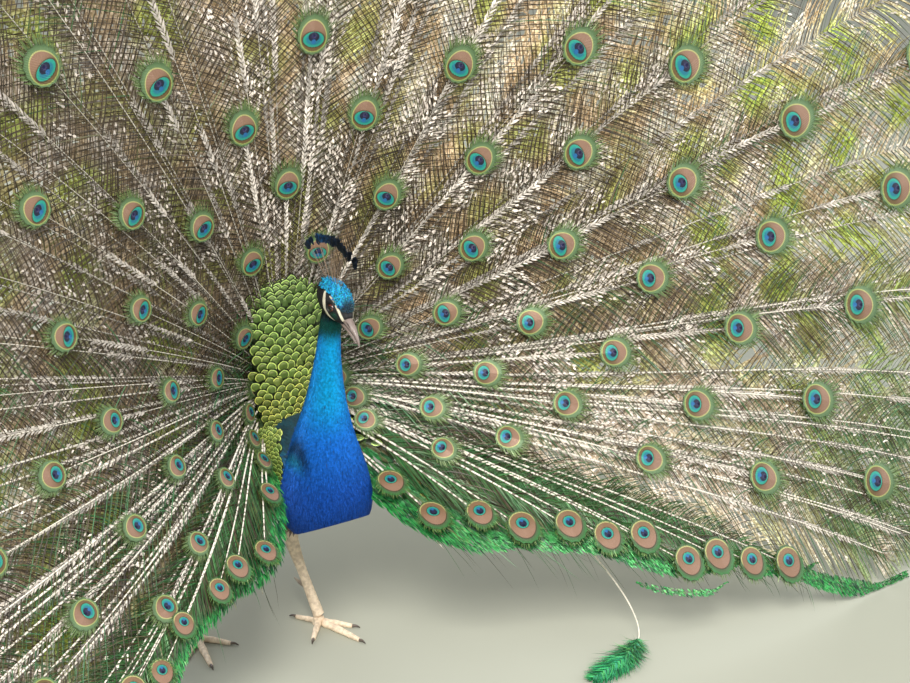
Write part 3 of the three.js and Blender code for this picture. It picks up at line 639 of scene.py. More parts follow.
def eye_spot_material(name, kind):
    """The train's eye spots, drawn by distance fields in each feather's own plane: a dark pupil with a
    blue notch, a turquoise ring, a copper disc, a thin gold line and a green margin."""
    material, tree, shader = new_material(name, roughness=0.40, metallic=0.25, specular=0.55)
    local, x, y, _ = own_place(tree)
    slant = times(tree, math_node(tree, "ABSOLUTE", x), 0.75)
    fibre = wave_node(tree, minus(tree, y, slant), 52.0)
    yy = plus(tree, y, times(tree, fibre, 0.014))
    (pupil_y, *pupil_size), (ring_y, *ring_size) = EYE_KINDS[kind]
    pupil = ellipse(tree, x, yy, (0.0, pupil_y), *pupil_size)
    notch_y = pupil_y - pupil_size[1] * 0.95
    notch = ellipse(tree, x, yy, (0.0, notch_y), pupil_size[0] * 0.42, pupil_size[1] * 0.50)
    ring = ellipse(tree, x, yy, (0.0, ring_y), *ring_size)
    egg = times(tree, x, plus(tree, times(tree, y, 0.10), 1.0))
    disc = ellipse(tree, egg, yy, (0.0, 0.0), 1.0, 1.08)
    far_end = step_node(tree, y, -0.45, 0.65)
    if kind == "rim":
        margin = mix_colour(tree, step_node(tree, disc, 1.05, 1.30), EYE_GREEN, RIM_GREEN)
        gold = mix_colour(tree, step_node(tree, y, 0.25, -0.55), COPPER_DARK, GOLD)
        copper_tone = mix_colour(tree, far_end, RIM_COPPER_LOW, RIM_COPPER)
    else:
        margin = mix_colour(tree, step_node(tree, disc, 1.05, 1.45), EYE_GREEN_PALE, EYE_GREEN)
        gold = mix_colour(tree, far_end, (0.30, 0.36, 0.10), GOLD)
        copper_tone = mix_colour(tree, far_end, COPPER, COPPER_PALE)
    colour = mix_colour(tree, step_node(tree, disc, 0.99, 1.03), gold, margin)
    colour = mix_colour(tree, step_node(tree, disc, 0.92, 0.95), copper_tone, colour)
    colour = mix_colour(tree, step_node(tree, ring, 1.05, 1.22), COPPER_DARK, colour)
    ring_tone = mix_colour(tree, step_node(tree, ring, 0.60, 0.90), RING_BLUE, RING_TURQUOISE)
    colour = mix_colour(tree, step_node(tree, ring, 0.98, 1.06), ring_tone, colour)
    pupil_tone = mix_colour(tree, step_node(tree, pupil, 0.10, 0.75), PUPIL_GLEAM, PUPIL)
    colour = mix_colour(tree, step_node(tree, pupil, 0.90, 1.02), pupil_tone, colour)
    colour = mix_colour(tree, step_node(tree, notch, 0.75, 1.10), NOTCH_BLUE, colour)
    streaks = step_node(tree, noise(tree, 9.0, 3.0, local, (1.5, 9.0, 1.0)), 0.35, 0.75)
    colour = mix_colour(tree, times(tree, streaks, 0.30), colour, (0.02, 0.03, 0.02))
    tree.links.new(colour, shader.inputs["Base Color"])
    add_bump(tree, shader, fibre, 0.35, 0.0003)
    return material


# ---------------------------------------------------------------- the train's feathers

rng = np.random.default_rng(20)

# The eyes lie in rings. A ring's turn and reach follow from its number: a fixed part, a part for each
# step and a part for the steps squared.
RING_COUNT = 12
RING_TURN = (0.2945, 0.1047, 0.0041)
RING_REACH = (0.111, 0.0833, 0.0028)
# In degrees: the step between two eyes of a ring, and how far their angles are spread at most.
EYE_STEP = 24.5
EYE_SPREAD = 130.6
# How much shorter the feathers of a ring are at its sides.
SIDE_SHORTENING = 0.034
# Half the width of an eye near the body in millimetres, and how much larger it is one metre out.
EYE_HALF_WIDTH = 12.6
EYE_GROWTH = 14.5
# The eyes are smaller on the bird's right, which is turned away.
RIGHT_SHRINKING = 0.14
# The rim feathers of each side: how many, how far out the first eye lies and the steps between them.
RIM_FEATHERS = 11
RIM_REACH = {1: 0.104, -1: 0.138}
RIM_STEPS = (0.052, 0.0006)
# How large the eyes on the bird's right rim are, beside those on its left rim.
RIGHT_RIM_EYES = 0.74
# How much farther round than the train's own rim its short feathers hang at most.
RIM_DROP = math.radians(13.5)
# Feathers that end in a fork: those round the whole fan, and the shorter ones low on each side.
FISHTAILS = 34
FISHTAIL_SPAN = 219
LOW_TIPS = 6
# How far out the shafts start, how much they sag towards their tips, and how high on the back their
# roots are.
SHAFT_START = 0.085
SHAFT_DROOP = math.radians(4.0)
SHAFT_RISE = 0.075
CREAM = np.array([0.90, 0.84, 0.72])
DASH_LENGTH = 6.5 * MM


def eye_feathers():
    """Feathers that end in an eye, set out in rings whose angles step like leaves on a stem.
    Each is (angle at the tip, reach of the eye, half width of its gold line)."""
    feathers = []
    for ring in range(RING_COUNT):
        offset = (0.5 if ring % 2 == 0 else 0.0) - RING_TURN[0] + RING_TURN[1] * ring
        offset = offset - RING_TURN[2] * ring ** 2
        for j in range(-7, 8):
            turn = EYE_STEP * (j + offset) / EYE_SPREAD
            if abs(turn) > math.pi / 2:
                continue
            angle = EYE_SPREAD * math.sin(turn)
            reach = RING_REACH[0] + RING_REACH[1] * ring + RING_REACH[2] * ring ** 2
            reach = reach * (1 - SIDE_SHORTENING * (angle / 90) ** 2)
            angle = math.radians(angle + rng.normal(0, 0.5))
            reach *= 1 + rng.normal(0, 0.010)
            if abs(angle) > TRAIN_RIM_ANGLE - 0.10 or reach > fan_reach(angle) - 0.035:
                continue
            smaller = 1 - RIGHT_SHRINKING * smoothstep(0.2, 0.9, -angle)
            feathers.append((angle, reach, (EYE_HALF_WIDTH + EYE_GROWTH * reach) * smaller * MM))
    return feathers


def rim_drop(reach):
    """How much farther round than the train's own rim the short rim feathers hang, near the body."""
    return RIM_DROP * (1 - smoothstep(0.10, 0.37, reach))


def rim_shift(side, reach):
    """How far outside the rim's own line its feathers end, in metres."""
    left = 0.006 + 0.018 * (1 - smoothstep(0.50, 0.62, reach))
    right = -0.018 * (1 - smoothstep(0.30, 0.45, reach))
    return np.where(np.asarray(side) > 0, left, right)


def rim_feathers():
    """The close rows of short feathers along both lower rims, whose eyes are mostly copper."""
    feathers = []
    for side in (-1, 1):
        for i in range(RIM_FEATHERS):
            reach = RIM_REACH[side] + RIM_STEPS[0] * i + RIM_STEPS[1] * i * i + rng.uniform(-0.012, 0.012)
            stagger = (0.006 if i % 2 else -0.007) + rng.uniform(-0.006, 0.006)
            stagger = stagger + float(rim_shift(side, reach))
            angle = side * (TRAIN_RIM_ANGLE + rim_drop(reach) + stagger / reach)
            size = (20.5 + 3 * reach) * MM * rng.uniform(0.90, 1.04)
            feathers.append((angle, reach, size * (1.0 if side > 0 else RIGHT_RIM_EYES)))
    return feathers


def shaft_angle(tip_angle, reach, full):
    """A shaft sags towards its tip and comes from high on the back, so it starts nearer to upright."""
    droop = SHAFT_DROOP * np.minimum(full, 1.2) * (1 - (reach / full) ** 2)
    return tip_angle - np.sin(tip_angle) * (droop + SHAFT_RISE * (1 / reach - 1 / full))


def shaft_points(tip_angle, full, reach):
    """Places in the fan's plane (x, z) along a shaft."""
    angle = shaft_angle(tip_angle, reach, full)
    return reach * np.sin(angle), TRAIN_ROOT[2] + reach * np.cos(angle)


def layer(full):
    """Shorter feathers lie nearer to the front of the train."""
    return (24 - 16 * full) * MM


EYES = eye_feathers()
RIMS = rim_feathers()
TIPS = []
for number in range(FISHTAILS):
    degrees = -FISHTAIL_SPAN / 2 + FISHTAIL_SPAN * (number + 0.5) / FISHTAILS
    tip_at = math.radians(degrees) + rng.normal(0, 0.01)
    TIPS.append((tip_at, float(fan_reach(tip_at)) - 0.032 + rng.uniform(-0.02, 0.012), 0.0))
for number in range(2 * LOW_TIPS):
    tip_at = math.radians(97.5 + 12 * (number // 2 + 0.5) / LOW_TIPS) * (1 if number % 2 else -1)
    TIPS.append((tip_at, float(fan_reach(tip_at)) - rng.uniform(0.03, 0.16), 0.0))


def build_shafts():
    """Pale three-sided shafts of all the train's feathers."""
    mesh = Mesh()
    rows = 15
    for tip_angle, full, size in EYES + RIMS + TIPS:
        end = full - (0.2 * size)
        reach = np.linspace(SHAFT_START, end, rows)
        x, z = shaft_points(tip_angle, full, reach)
        low = smoothstep(*LOW_SHAFTS, abs(tip_angle))
        centre = fan_lift(x, z, layer(full) + 0.5 * MM + 2.0 * MM * low)
        along = unit(np.gradient(centre, axis=0))
        side = unit(np.cross(along, np.array([0.0, -1.0, 0.0])))
        out = np.cross(side, along)
        taper = 1 - (reach - SHAFT_START) / (end - SHAFT_START + 0.12)
        width = (0.95 + 0.95 * low) * MM * (0.25 + 0.75 * taper) * (0.8 + 0.5 * min(full, 1.0))
        ring = [side * width[:, None], out * width[:, None] * 0.9, -side * width[:, None]]
        points = centre[:, None] + np.stack(ring + ring[:1], axis=1)
        shade = CREAM * rng.uniform(0.85, 1.05) * mix(0.62, 1.0, low)
        place = fan_place(points[..., 0], points[..., 2])
        local = np.zeros((rows, 4, 3))
        local[..., 0] = 1 - low
        local[..., 1] = reach[:, None] / DASH_LENGTH + tip_angle * 10
        mesh.add(points, strip_faces(1, rows, 4), shade, place, local)
    return mesh


def shaft_material():
    """Pale shafts, dashed by the roots of dark barbs that cross them."""
    material, tree, shader = new_material("train_shafts", roughness=0.45, specular=0.4)
    _, _, along, _ = own_place(tree)
    shifted = plus(tree, along, times(tree, noise(tree, 60.0, 3.0), 2.5))
    wave = wave_node(tree, shifted, 2 * math.pi)
    slow = times(tree, noise(tree, 14.0, 2.0), 3.0)
    dash = step_node(tree, plus(tree, wave, slow), 0.55, 1.25)
    share = times(tree, minus(tree, 1.0, dash), 0.80)
    tint = tint_of(tree)
    tree.links.new(mix_colour(tree, share, tint, (0.10, 0.07, 0.04)), shader.inputs["Base Color"])
    add_bump(tree, shader, noise(tree, 600.0, 2.0), 0.2, 0.0003)
    return material


# Colours of the loose barbs.
BARB_DARK = np.array([0.026, 0.018, 0.010])
BARB_BROWN = np.array([0.085, 0.056, 0.032])
BARB_OLIVE = np.array([0.085, 0.095, 0.022])
BARB_GREEN = np.array([0.034, 0.140, 0.044])
# The rope barbs' white: partly their own pale colour, partly painted highlight.
ROPE_PALE_AND_GLINT = np.array([0.95, 0.86, 0.76])
# Painted sheen and glints on the paler layer, and where light comes through it.
UNDER_HIGHLIGHT_WHITE = np.array([1.00, 0.89, 0.78])
UNDER_TAN = np.array([0.78, 0.62, 0.42])
UNDER_OLIVE = np.array([0.56, 0.72, 0.13])
UNDER_GREEN = np.array([0.20, 0.42, 0.13])
# Where each kind of barb has its points, as shares of its length.
DARK_SHARES = np.array([0, 0.14, 0.30, 0.48, 0.66, 0.84, 1.0])
UNDER_SHARES = np.array([0, 0.25, 0.5, 0.75, 1.0])
ROPE_SHARES = np.array([0, 0.3, 0.7, 1.0])
GLINT_SHARES = np.array([0, 0.5, 1.0])
# How far a barb that leaves its shaft level turns down by its end.
BARB_SAG = math.radians(28)
# Angles from upright between which the train's colours and barbs change.
GREEN_SIDES = (math.radians(50), math.radians(108))
LOW_SHAFTS = (math.radians(60), math.radians(95))
LOW_BARBS = (math.radians(80), math.radians(95))
NARROW_BARBS = (math.radians(80), math.radians(100))
# The eyes of the upper train reach down to this angle.
UPPER_EYES = math.radians(62)
# How far an eye on the rim hangs down from its shaft's way.
RIM_EYE_TURN = math.radians(48)
# Shafts nearer than this count as one; with none beside it a shaft has this much open room.
CLOSE_SHAFTS = 0.014
OPEN_SIDE = 0.075
# How far barbs may hang past the train's rim.
RIM_OVERHANG = 0.014
# How much of the rim's shift to the inside the barbs and the sword feathers follow.
RIM_FOLLOWING = 1.3
# How high above the floor the train's barbs and eyes stay.
BARB_CLEARANCE = 10 * MM
EYE_CLEARANCE = 6 * MM
# The rows of the table that barb_roots gives.
X, Z, WAY, SIDE, REACH, TO_EYE, ANGLE, LAYER, BESIDE, ROOM = range(10)


def next_shaft(tip_angle, full, reach, side):
    """How far it is, at each reach, from a shaft to the next one on a side that isn't close beside it."""
    others = np.array([feather[:2] for feather in EYES + TIPS])
    apart = shaft_angle(others[:, :1], reach[None], others[:, 1:]) - shaft_angle(tip_angle, reach, full)
    apart = side * apart * reach
    apart = np.where((others[:, 1:] > reach[None]) & (apart > CLOSE_SHAFTS), apart, OPEN_SIDE)
    return apart.min(axis=0)


def rim_room(tip_angle, full, reach, side):
    """How far it is, at each reach, from a shaft to the train's lower rim, on the side that faces it."""
    if side * tip_angle < 0:
        return np.ones(len(reach))
    edge = TRAIN_RIM_ANGLE + rim_drop(reach) - side * shaft_angle(tip_angle, reach, full)
    edge = edge * reach + np.minimum(rim_shift(side, reach), 0.0) * RIM_FOLLOWING
    return np.maximum(edge + RIM_OVERHANG, 0.5 * RIM_OVERHANG)


# The size and seed of the patches where the paler layer turns olive, and where it turns white with painted
# sheen.
OLIVE_BLOTCHES = (0.12, 51)
SHEEN_BLOTCHES = (0.085, 52)


def blotches(x, z, size, seed):
    """Smooth patches, from 0 to 1, about as large as a size in metres."""
    gen = np.random.default_rng(seed)
    total = 0.0
    for _ in range(7):
        way, turn, stretch = gen.uniform([0, 0, 0.7], [2 * math.pi, 2 * math.pi, 1.6])
        along = x * math.cos(way) + z * math.sin(way)
        total = total + np.sin(along * 2 * math.pi / (size * stretch) + turn)
    return 0.5 + 0.5 * np.tanh(total / 1.5)


def greenness(angle, reach):
    """Where the train turns from bronze brown to green: near the body, at its sides and its rims."""
    side = smoothstep(*GREEN_SIDES, np.abs(angle)) * 0.75
    outer = smoothstep(0.55, 1.05, reach) * 0.35
    return np.clip(np.maximum(side, 1 - smoothstep(0.10, 0.24, reach)) + outer, 0, 1)


def sheen_patch(angle, reach):
    """Where the train's barbs catch the light, in streaks along the feathers."""
    return 0.5 + 0.5 * np.sin(reach * 9 + angle * 83) * np.sin(reach * 21 - angle * 31)


def barb_roots(gen, feathers, gap, span):
    """Where barbs leave their shafts, as rows: x, z, the shaft's way, side, reach, how far it is to the
    eye, the feather's angle, its layer, how far off the next shaft is and the rim. gap is a function of
    the reach."""
    rows = []
    for tip_angle, full, size in feathers:
        start = max(SHAFT_START + 0.03, full - span)
        stop = full - 0.55 * size if size else full + 0.01
        if stop - start < 0.02:
            continue
        fine = np.linspace(start, stop, 60)
        rank = np.concatenate([[0], np.cumsum(np.diff(fine) / gap((fine[1:] + fine[:-1]) / 2))])
        count = int(rank[-1])
        for side in (-1, 1):
            at = np.arange(count) + gen.uniform(0.2, 0.8) + gen.uniform(-0.13, 0.13, count)
            reach = np.interp(at, rank, fine)
            x, z = shaft_points(tip_angle, full, reach)
            ahead_x, ahead_z = shaft_points(tip_angle, full, reach + 0.002)
            way = np.arctan2(ahead_x - x, ahead_z - z)
            same = np.ones(count)
            rows.append(np.stack([x, z, way, side * same, reach, stop - reach, tip_angle * same,
                                  layer(full) * same, next_shaft(tip_angle, full, reach, side),
                                  rim_room(tip_angle, full, reach, side)]))
    return np.concatenate(rows, axis=1)


def lay_barbs(gen, roots, slant, bend, length, lift, width, shares, taper, tints):
    """Barbs as curved ribbons on the fan: each leaves its shaft at a slant, bends and sags. tints are
    a colour for each barb, or a function of where its points are."""
    x, z, way, side = roots[:REACH]
    heading = (way + side * slant)[:, None] + (side * bend)[:, None] * shares[None]
    heading = heading + BARB_SAG * np.sin(heading) * shares[None]
    heading = heading[:, :-1]
    px, pz = walk(x, z, heading, length[:, None] * np.diff(shares)[None])
    pz = np.maximum(pz, BARB_CLEARANCE)
    centres = fan_lift(px, pz, lift)
    half = np.asarray(width) * 0.5 * gen.uniform(0.8, 1.2, len(x))[:, None] * np.asarray(taper)[None]
    crosswise = across_fan(heading, gen.normal(0, 0.3, len(x))[:, None])
    tints = tints(px, pz) if callable(tints) else np.repeat(tints[:, None], len(shares), axis=1)
    mesh = Mesh()
    add_ribbons(mesh, centres, crosswise * half[..., None], tints, fan_place(x, z))
    return mesh


def barb_length(reach, to_eye, beside, room, overlap):
    """Barbs are long round the eyes, and further down long enough to cross the next shaft."""
    near = mix(0.066, 0.108, smoothstep(0.0, 0.16, to_eye)) * mix(0.48, 1.0, smoothstep(0.2, 1.0, reach))
    far = np.clip(overlap * beside, 0.026, 0.125)
    length = near + (np.maximum(far, near * 0.6) - near) * smoothstep(0.06, 0.20, to_eye)
    return np.minimum(length, 1.25 * room)


def dark_barbs(feathers, seed):
    """The long dark barbs, whose regular arcs cross those of their neighbours."""
    gen = np.random.default_rng(seed)
    roots = barb_roots(gen, feathers, lambda r: mix(9.5, 8.5, smoothstep(0.4, 1.0, r)) * MM, 0.95)
    roots = roots[:, gen.random(roots.shape[1]) > 0.55 * pale_zone(roots[ANGLE], roots[REACH])]
    reach, to_eye, angle, depth, beside, room = roots[REACH:]
    n = len(reach)
    slant = np.radians(mix(22.0, 52.0, smoothstep(0.0, 0.13, to_eye))) + gen.normal(0, 0.022, n)
    bend = -np.radians(mix(-2.0, 14.0, smoothstep(0.0, 0.15, to_eye)))
    length = barb_length(reach, to_eye, beside, room, 1.7) * gen.uniform(0.88, 1.12, n)
    rise = smoothstep(0.0, 0.3, DARK_SHARES)[None] * gen.uniform(0.3, 3.5, n)[:, None] * MM
    lift = (depth + gen.uniform(-0.6, 0.6, n) * MM)[:, None] + rise
    green = greenness(angle, reach)
    base = mix(BARB_DARK, BARB_BROWN, gen.random(n) ** 1.6)
    base = mix(base, BARB_OLIVE, (gen.random(n) < 0.10 + 0.25 * green) * gen.uniform(0.3, 1.0, n))
    base = mix(base, BARB_GREEN, (gen.random(n) < 0.65 * green) * gen.uniform(0.3, 1.0, n))
    return lay_barbs(gen, roots, slant, bend, length, lift, 1.25 * MM, DARK_SHARES,
                     [1.2, 1.1, 1.0, 1.0, 0.9, 0.7], base)


def shaded(angle):
    """The train's upper part on the bird's right, which is turned from the light."""
    return smoothstep(-0.05, -0.40, angle) * smoothstep(-1.50, -1.20, angle)


def rope_barbs(feathers, seed):
    """Short pale barbs close along each shaft, which lie on it like the strands of a rope; their white is
    partly their own and partly a painted highlight, strongest where sheen_patch puts the light.
    """
    gen = np.random.default_rng(seed)
    roots = barb_roots(gen, feathers, lambda r: mix(6.0, 7.5, smoothstep(0.2, 0.8, r)) * MM, 1.2)
    patch = sheen_patch(roots[ANGLE], roots[REACH])
    roots = roots[:, patch > 0.42 + 0.30 * shaded(roots[ANGLE])]
    reach, _, angle, depth = roots[REACH:BESIDE]
    n = len(reach)
    patch = smoothstep(0.42, 0.78, sheen_patch(angle, reach))
    slant = np.radians(gen.normal(27, 3, n))
    length = mix(6.5, 12.0, smoothstep(0.2, 0.7, reach)) * (0.75 + 0.35 * patch)
    length = length * gen.uniform(0.85, 1.15, n) * MM
    lift = (depth + gen.uniform(0.6, 1.6, n) * MM)[:, None]
    # Painted highlight: whiter where sheen_patch is high, dimmer where the train is turned from the light.
    base = ROPE_PALE_AND_GLINT * (0.35 + 0.60 * patch)[:, None] * gen.uniform(0.55, 1.05, (n, 1))
    base = base * (1 - 0.25 * greenness(angle, reach) - 0.40 * shaded(angle))[:, None]

    def tints(px, _):
        """Each barb is darker at its root."""
        return base[:, None] * np.where(np.arange(px.shape[1]) == 0, 0.5, 1.0)[:, None]

    return lay_barbs(gen, roots, slant, 0 * slant - 0.2, length, lift, 2.7 * MM, ROPE_SHARES,
                     [0.5, 1.0, 0.8], tints)


def pale_zone(angle, reach):
    """The low part of the train on the bird's left, where the barbs are loose and the light comes through."""
    low = smoothstep(*LOW_BARBS, angle)
    return 0.85 * low * smoothstep(0.22, 0.36, reach) * (1 - 0.8 * smoothstep(0.50, 0.80, reach))


def under_colours(x, z):
    """Pinkish white, tan, olive and green patches of the paler layer behind; its white patches are painted
    sheen, and it is dimmed on the bird's right and brightened on its left as painted light.
    """
    rise = z - TRAIN_ROOT[2]
    reach, angle = np.hypot(x, rise), np.arctan2(x, rise)
    green = greenness(angle, reach)
    pale = pale_zone(angle, reach)
    olive = 0.10 + 0.32 * smoothstep(0.55, 1.05, reach) + 0.35 * green + 0.25 * smoothstep(0.0, -0.8, angle)
    olive = np.clip(olive + 1.1 * (blotches(x, z, *OLIVE_BLOTCHES) - 0.5), 0, 1)
    # Painted sheen: the paler layer turns white in the sheen patches.
    white = smoothstep(0.35, 0.75, blotches(x, z, *SHEEN_BLOTCHES)) * (1 - 0.55 * olive)
    base = mix(UNDER_TAN, UNDER_OLIVE, olive)
    base = mix(base, UNDER_HIGHLIGHT_WHITE, white)
    base = mix(base, UNDER_GREEN, smoothstep(0.75, 1.0, green) * (1 - white) * 0.8)
    # Painted light and shade: dim on the bird's right, brightest on its upper left, a little dimmer low on
    # its left.
    light = 0.56 + 0.60 * smoothstep(-0.5, 0.15, angle) - 0.28 * smoothstep(0.9, 1.5, angle)
    return np.minimum(mix(base * light[..., None], UNDER_HIGHLIGHT_WHITE, pale), 1.0)


def under_barbs(feathers, seed):
    """The broad paler layer behind, which shows between the dark barbs."""
    gen = np.random.default_rng(seed)
    roots = barb_roots(gen, feathers, lambda r: mix(7.5, 6.0, smoothstep(0.4, 1.0, r)) * MM, 0.95)
    reach, to_eye, angle, _, beside, room = roots[REACH:]
    n = len(reach)
    slant = np.radians(mix(20.0, 42.0, smoothstep(0.0, 0.15, to_eye))) + gen.normal(0, 0.20, n)
    bend = np.radians(mix(5.0, -10.0, smoothstep(0.0, 0.15, to_eye)))
    length = barb_length(reach, to_eye, beside, room, 2.0) * gen.uniform(0.8, 1.1, n)
    lift = gen.uniform(-5.0, 0.5, n)[:, None] * MM
    low = smoothstep(*NARROW_BARBS, np.abs(angle))
    width = mix(4.6, 3.0, np.maximum(low, smoothstep(0.85, 1.15, reach))) * MM
    shade = gen.uniform(0.75, 1.1, (n, 1, 1))
    return lay_barbs(gen, roots, slant, bend, length, lift, width[:, None], UNDER_SHARES,
                     [0.8, 1.0, 1.0, 0.8], lambda x, z: under_colours(x, z) * shade)


def glint_barbs(feathers, seed):
    """Short lengths of barb that catch the light, in rows beside the shafts where the train is brightest."""
    gen = np.random.default_rng(seed)
    roots = np.repeat(barb_roots(gen, feathers, constant(8.0), 0.95), 4, axis=1)
    way, side, beside = roots[WAY], roots[SIDE], roots[BESIDE]
    apart = gen.uniform(0.10, 1.0, len(way)) * np.minimum(beside, 0.045) * side
    roots[X] += apart * np.cos(way)
    roots[Z] -= apart * np.sin(way)
    x, rise = roots[X], roots[Z] - TRAIN_ROOT[2]
    reach, angle = np.hypot(x, rise), np.arctan2(x, rise)
    # Painted glints go where the sheen patches lie.
    white = smoothstep(0.38, 0.72, blotches(x, roots[Z], *SHEEN_BLOTCHES))
    lit = (0.30 + 0.70 * smoothstep(-0.45, 0.10, angle)) * smoothstep(0.22, 0.42, reach)
    lit = lit * (1 - 0.6 * smoothstep(1.35, 1.6, angle))
    inside = np.abs(angle) < TRAIN_RIM_ANGLE - 0.02 / reach
    roots = roots[:, (gen.random(len(way)) < 0.80 * white * lit) & (roots[TO_EYE] > 0.03) & inside]
    n = roots.shape[1]
    slant = np.radians(gen.normal(22, 9, n))
    length = gen.uniform(4.5, 8.5, n) * MM
    lift = (roots[LAYER] + gen.uniform(-1.5, 1.5, n) * MM)[:, None]
    base = UNDER_HIGHLIGHT_WHITE * (gen.uniform(0.60, 1.0, n) * (1 - 0.35 * shaded(roots[ANGLE])))[:, None]
    return lay_barbs(gen, roots, slant, 0 * slant, length, lift, 3.0 * MM, GLINT_SHARES, [0.7, 1.0], base)


def under_material():
    """The paler barbs, broken by glints: bright flecks on a darker ground."""
    material, tree, shader = new_material("train_under_barbs", roughness=0.6, specular=0.3)
    tint = tint_of(tree)
    flecks = step_node(tree, noise(tree, 210.0, 2.0), 0.44, 0.56)
    broad = step_node(tree, noise(tree, 30.0, 2.0), 0.30, 0.65)
    dull = multiplied(tree, tint, (0.58, 0.52, 0.42))
    bright = multiplied(tree, tint, (1.25, 1.25, 1.25))
    share = times(tree, flecks, plus(tree, times(tree, broad, 0.65), 0.35))
    tree.links.new(mix_colour(tree, share, dull, bright), shader.inputs["Base Color"])
    add_bump(tree, shader, noise(tree, 300.0, 2.0), 0.3, 0.0004)
    return material


def rim_barbs(feathers, seed):
    """The short green barbs of the rim feathers."""
    gen = np.random.default_rng(seed)
    roots = barb_roots(gen, feathers, constant(2.4), 0.30)
    reach, to_eye, _, depth = roots[REACH:BESIDE]
    n = len(reach)
    slant = np.radians(mix(20.0, 55.0, smoothstep(0.0, 0.15, to_eye))) + gen.normal(0, 0.08, n)
    length = mix(0.022, 0.040, smoothstep(0.0, 0.12, to_eye)) * gen.uniform(0.8, 1.15, n)
    lift = (depth + gen.uniform(-2.0, 2.0, n) * MM)[:, None]
    base = mix(EYE_GREEN, RIM_GREEN, gen.random(n))
    base = mix(base, BARB_DARK, (gen.random(n) < 0.3) * gen.uniform(0.3, 1.0, n))
    return lay_barbs(gen, roots, slant, 0 * slant - 0.2, length, lift, 1.5 * MM, UNDER_SHARES,
                     [1.0, 1.0, 0.9, 0.6], base)


def eye_grid():
    """A disc of points in a feather's own plane, with a slightly ragged green edge."""
    rings = EYE_RINGS
    sides = EYE_SIDES
    angle = np.linspace(0, 2 * math.pi, sides + 1)
    share = np.linspace(0, 1, rings) ** 0.85
    reach_out = 1.14 + 0.14 * smoothstep(-0.6, 1.0, np.cos(angle))
    ragged = 1 + 0.035 * np.where(np.arange(sides + 1) % 2 == 0, 1, -1)
    ragged[-1] = ragged[0]
    x = share[:, None] * (np.sin(angle) * reach_out * ragged)[None]
    y = share[:, None] * (np.cos(angle) * (reach_out + 0.12) * ragged)[None] + 0.03
    return x, y, strip_faces(1, rings, sides + 1)


def eye_way(tip_angle, full, kind):
    """Which way an eye points in the fan's plane: along its shaft, or down over the rim."""
    x0, z0 = shaft_points(tip_angle, full, full - 0.004)
    x1, z1 = shaft_points(tip_angle, full, full)
    way = math.atan2(x1 - x0, z1 - z0)
    if kind == "rim":
        way += math.copysign(RIM_EYE_TURN, tip_angle)
    return float(x1), float(z1), way


def eye_kind(tip_angle):
    """The eyes of the upper train have larger pupils than those of its sides."""
    return "upper" if abs(tip_angle) < UPPER_EYES else "side"


def eye_frame(tip_angle, full, kind, turn):
    """An eye's middle on its own layer of the fan, with the ways across, along and out of it."""
    x, z, way = eye_way(tip_angle, full, kind)
    way += turn
    step = 0.004
    middle = fan_lift(x, z, layer(full))
    along = unit(fan_lift(x + step * math.sin(way), z + step * math.cos(way), layer(full)) - middle)
    across = unit(fan_lift(x + step * math.cos(way), z - step * math.sin(way), layer(full)) - middle)
    out = unit(np.cross(across, along))
    out = out * -np.sign(out[1])
    along = unit(along - out * (along @ out))
    return middle, unit(np.cross(along, out)), along, out


def build_eyes(feathers, kind, back):
    """The eye discs: all of a kind share one place on the bake map, as they have one pattern."""
    mesh = Mesh()
    gx, gy, faces = eye_grid()
    gen = np.random.default_rng(33)
    for tip_angle, full, size in feathers:
        middle, across, along, out = eye_frame(tip_angle, full, kind, gen.normal(0, 0.06))
        dome = (1 - np.clip(np.hypot(gx, gy), 0, 1.2)) * 0.10 * size
        stagger = gen.uniform(-1, 1) * MM * (1 if kind != "rim" else 3)
        lift = EYE_LIFT[kind] + stagger + dome - (EYE_THICKNESS if back else 0)
        points = (middle + across * (size * gx)[..., None] + along * (size * gy)[..., None]
                  + out * lift[..., None])
        points[..., 2] = np.maximum(points[..., 2], EYE_CLEARANCE)
        local = np.stack([gx, gy, np.zeros_like(gx)], axis=-1)
        place = local[..., :2] * EYE_PATCH_SCALE + EYE_PATCHES[kind]
        mesh.add(points, faces[:, ::-1] if back else faces, EYE_BACK, place, local)
    return mesh


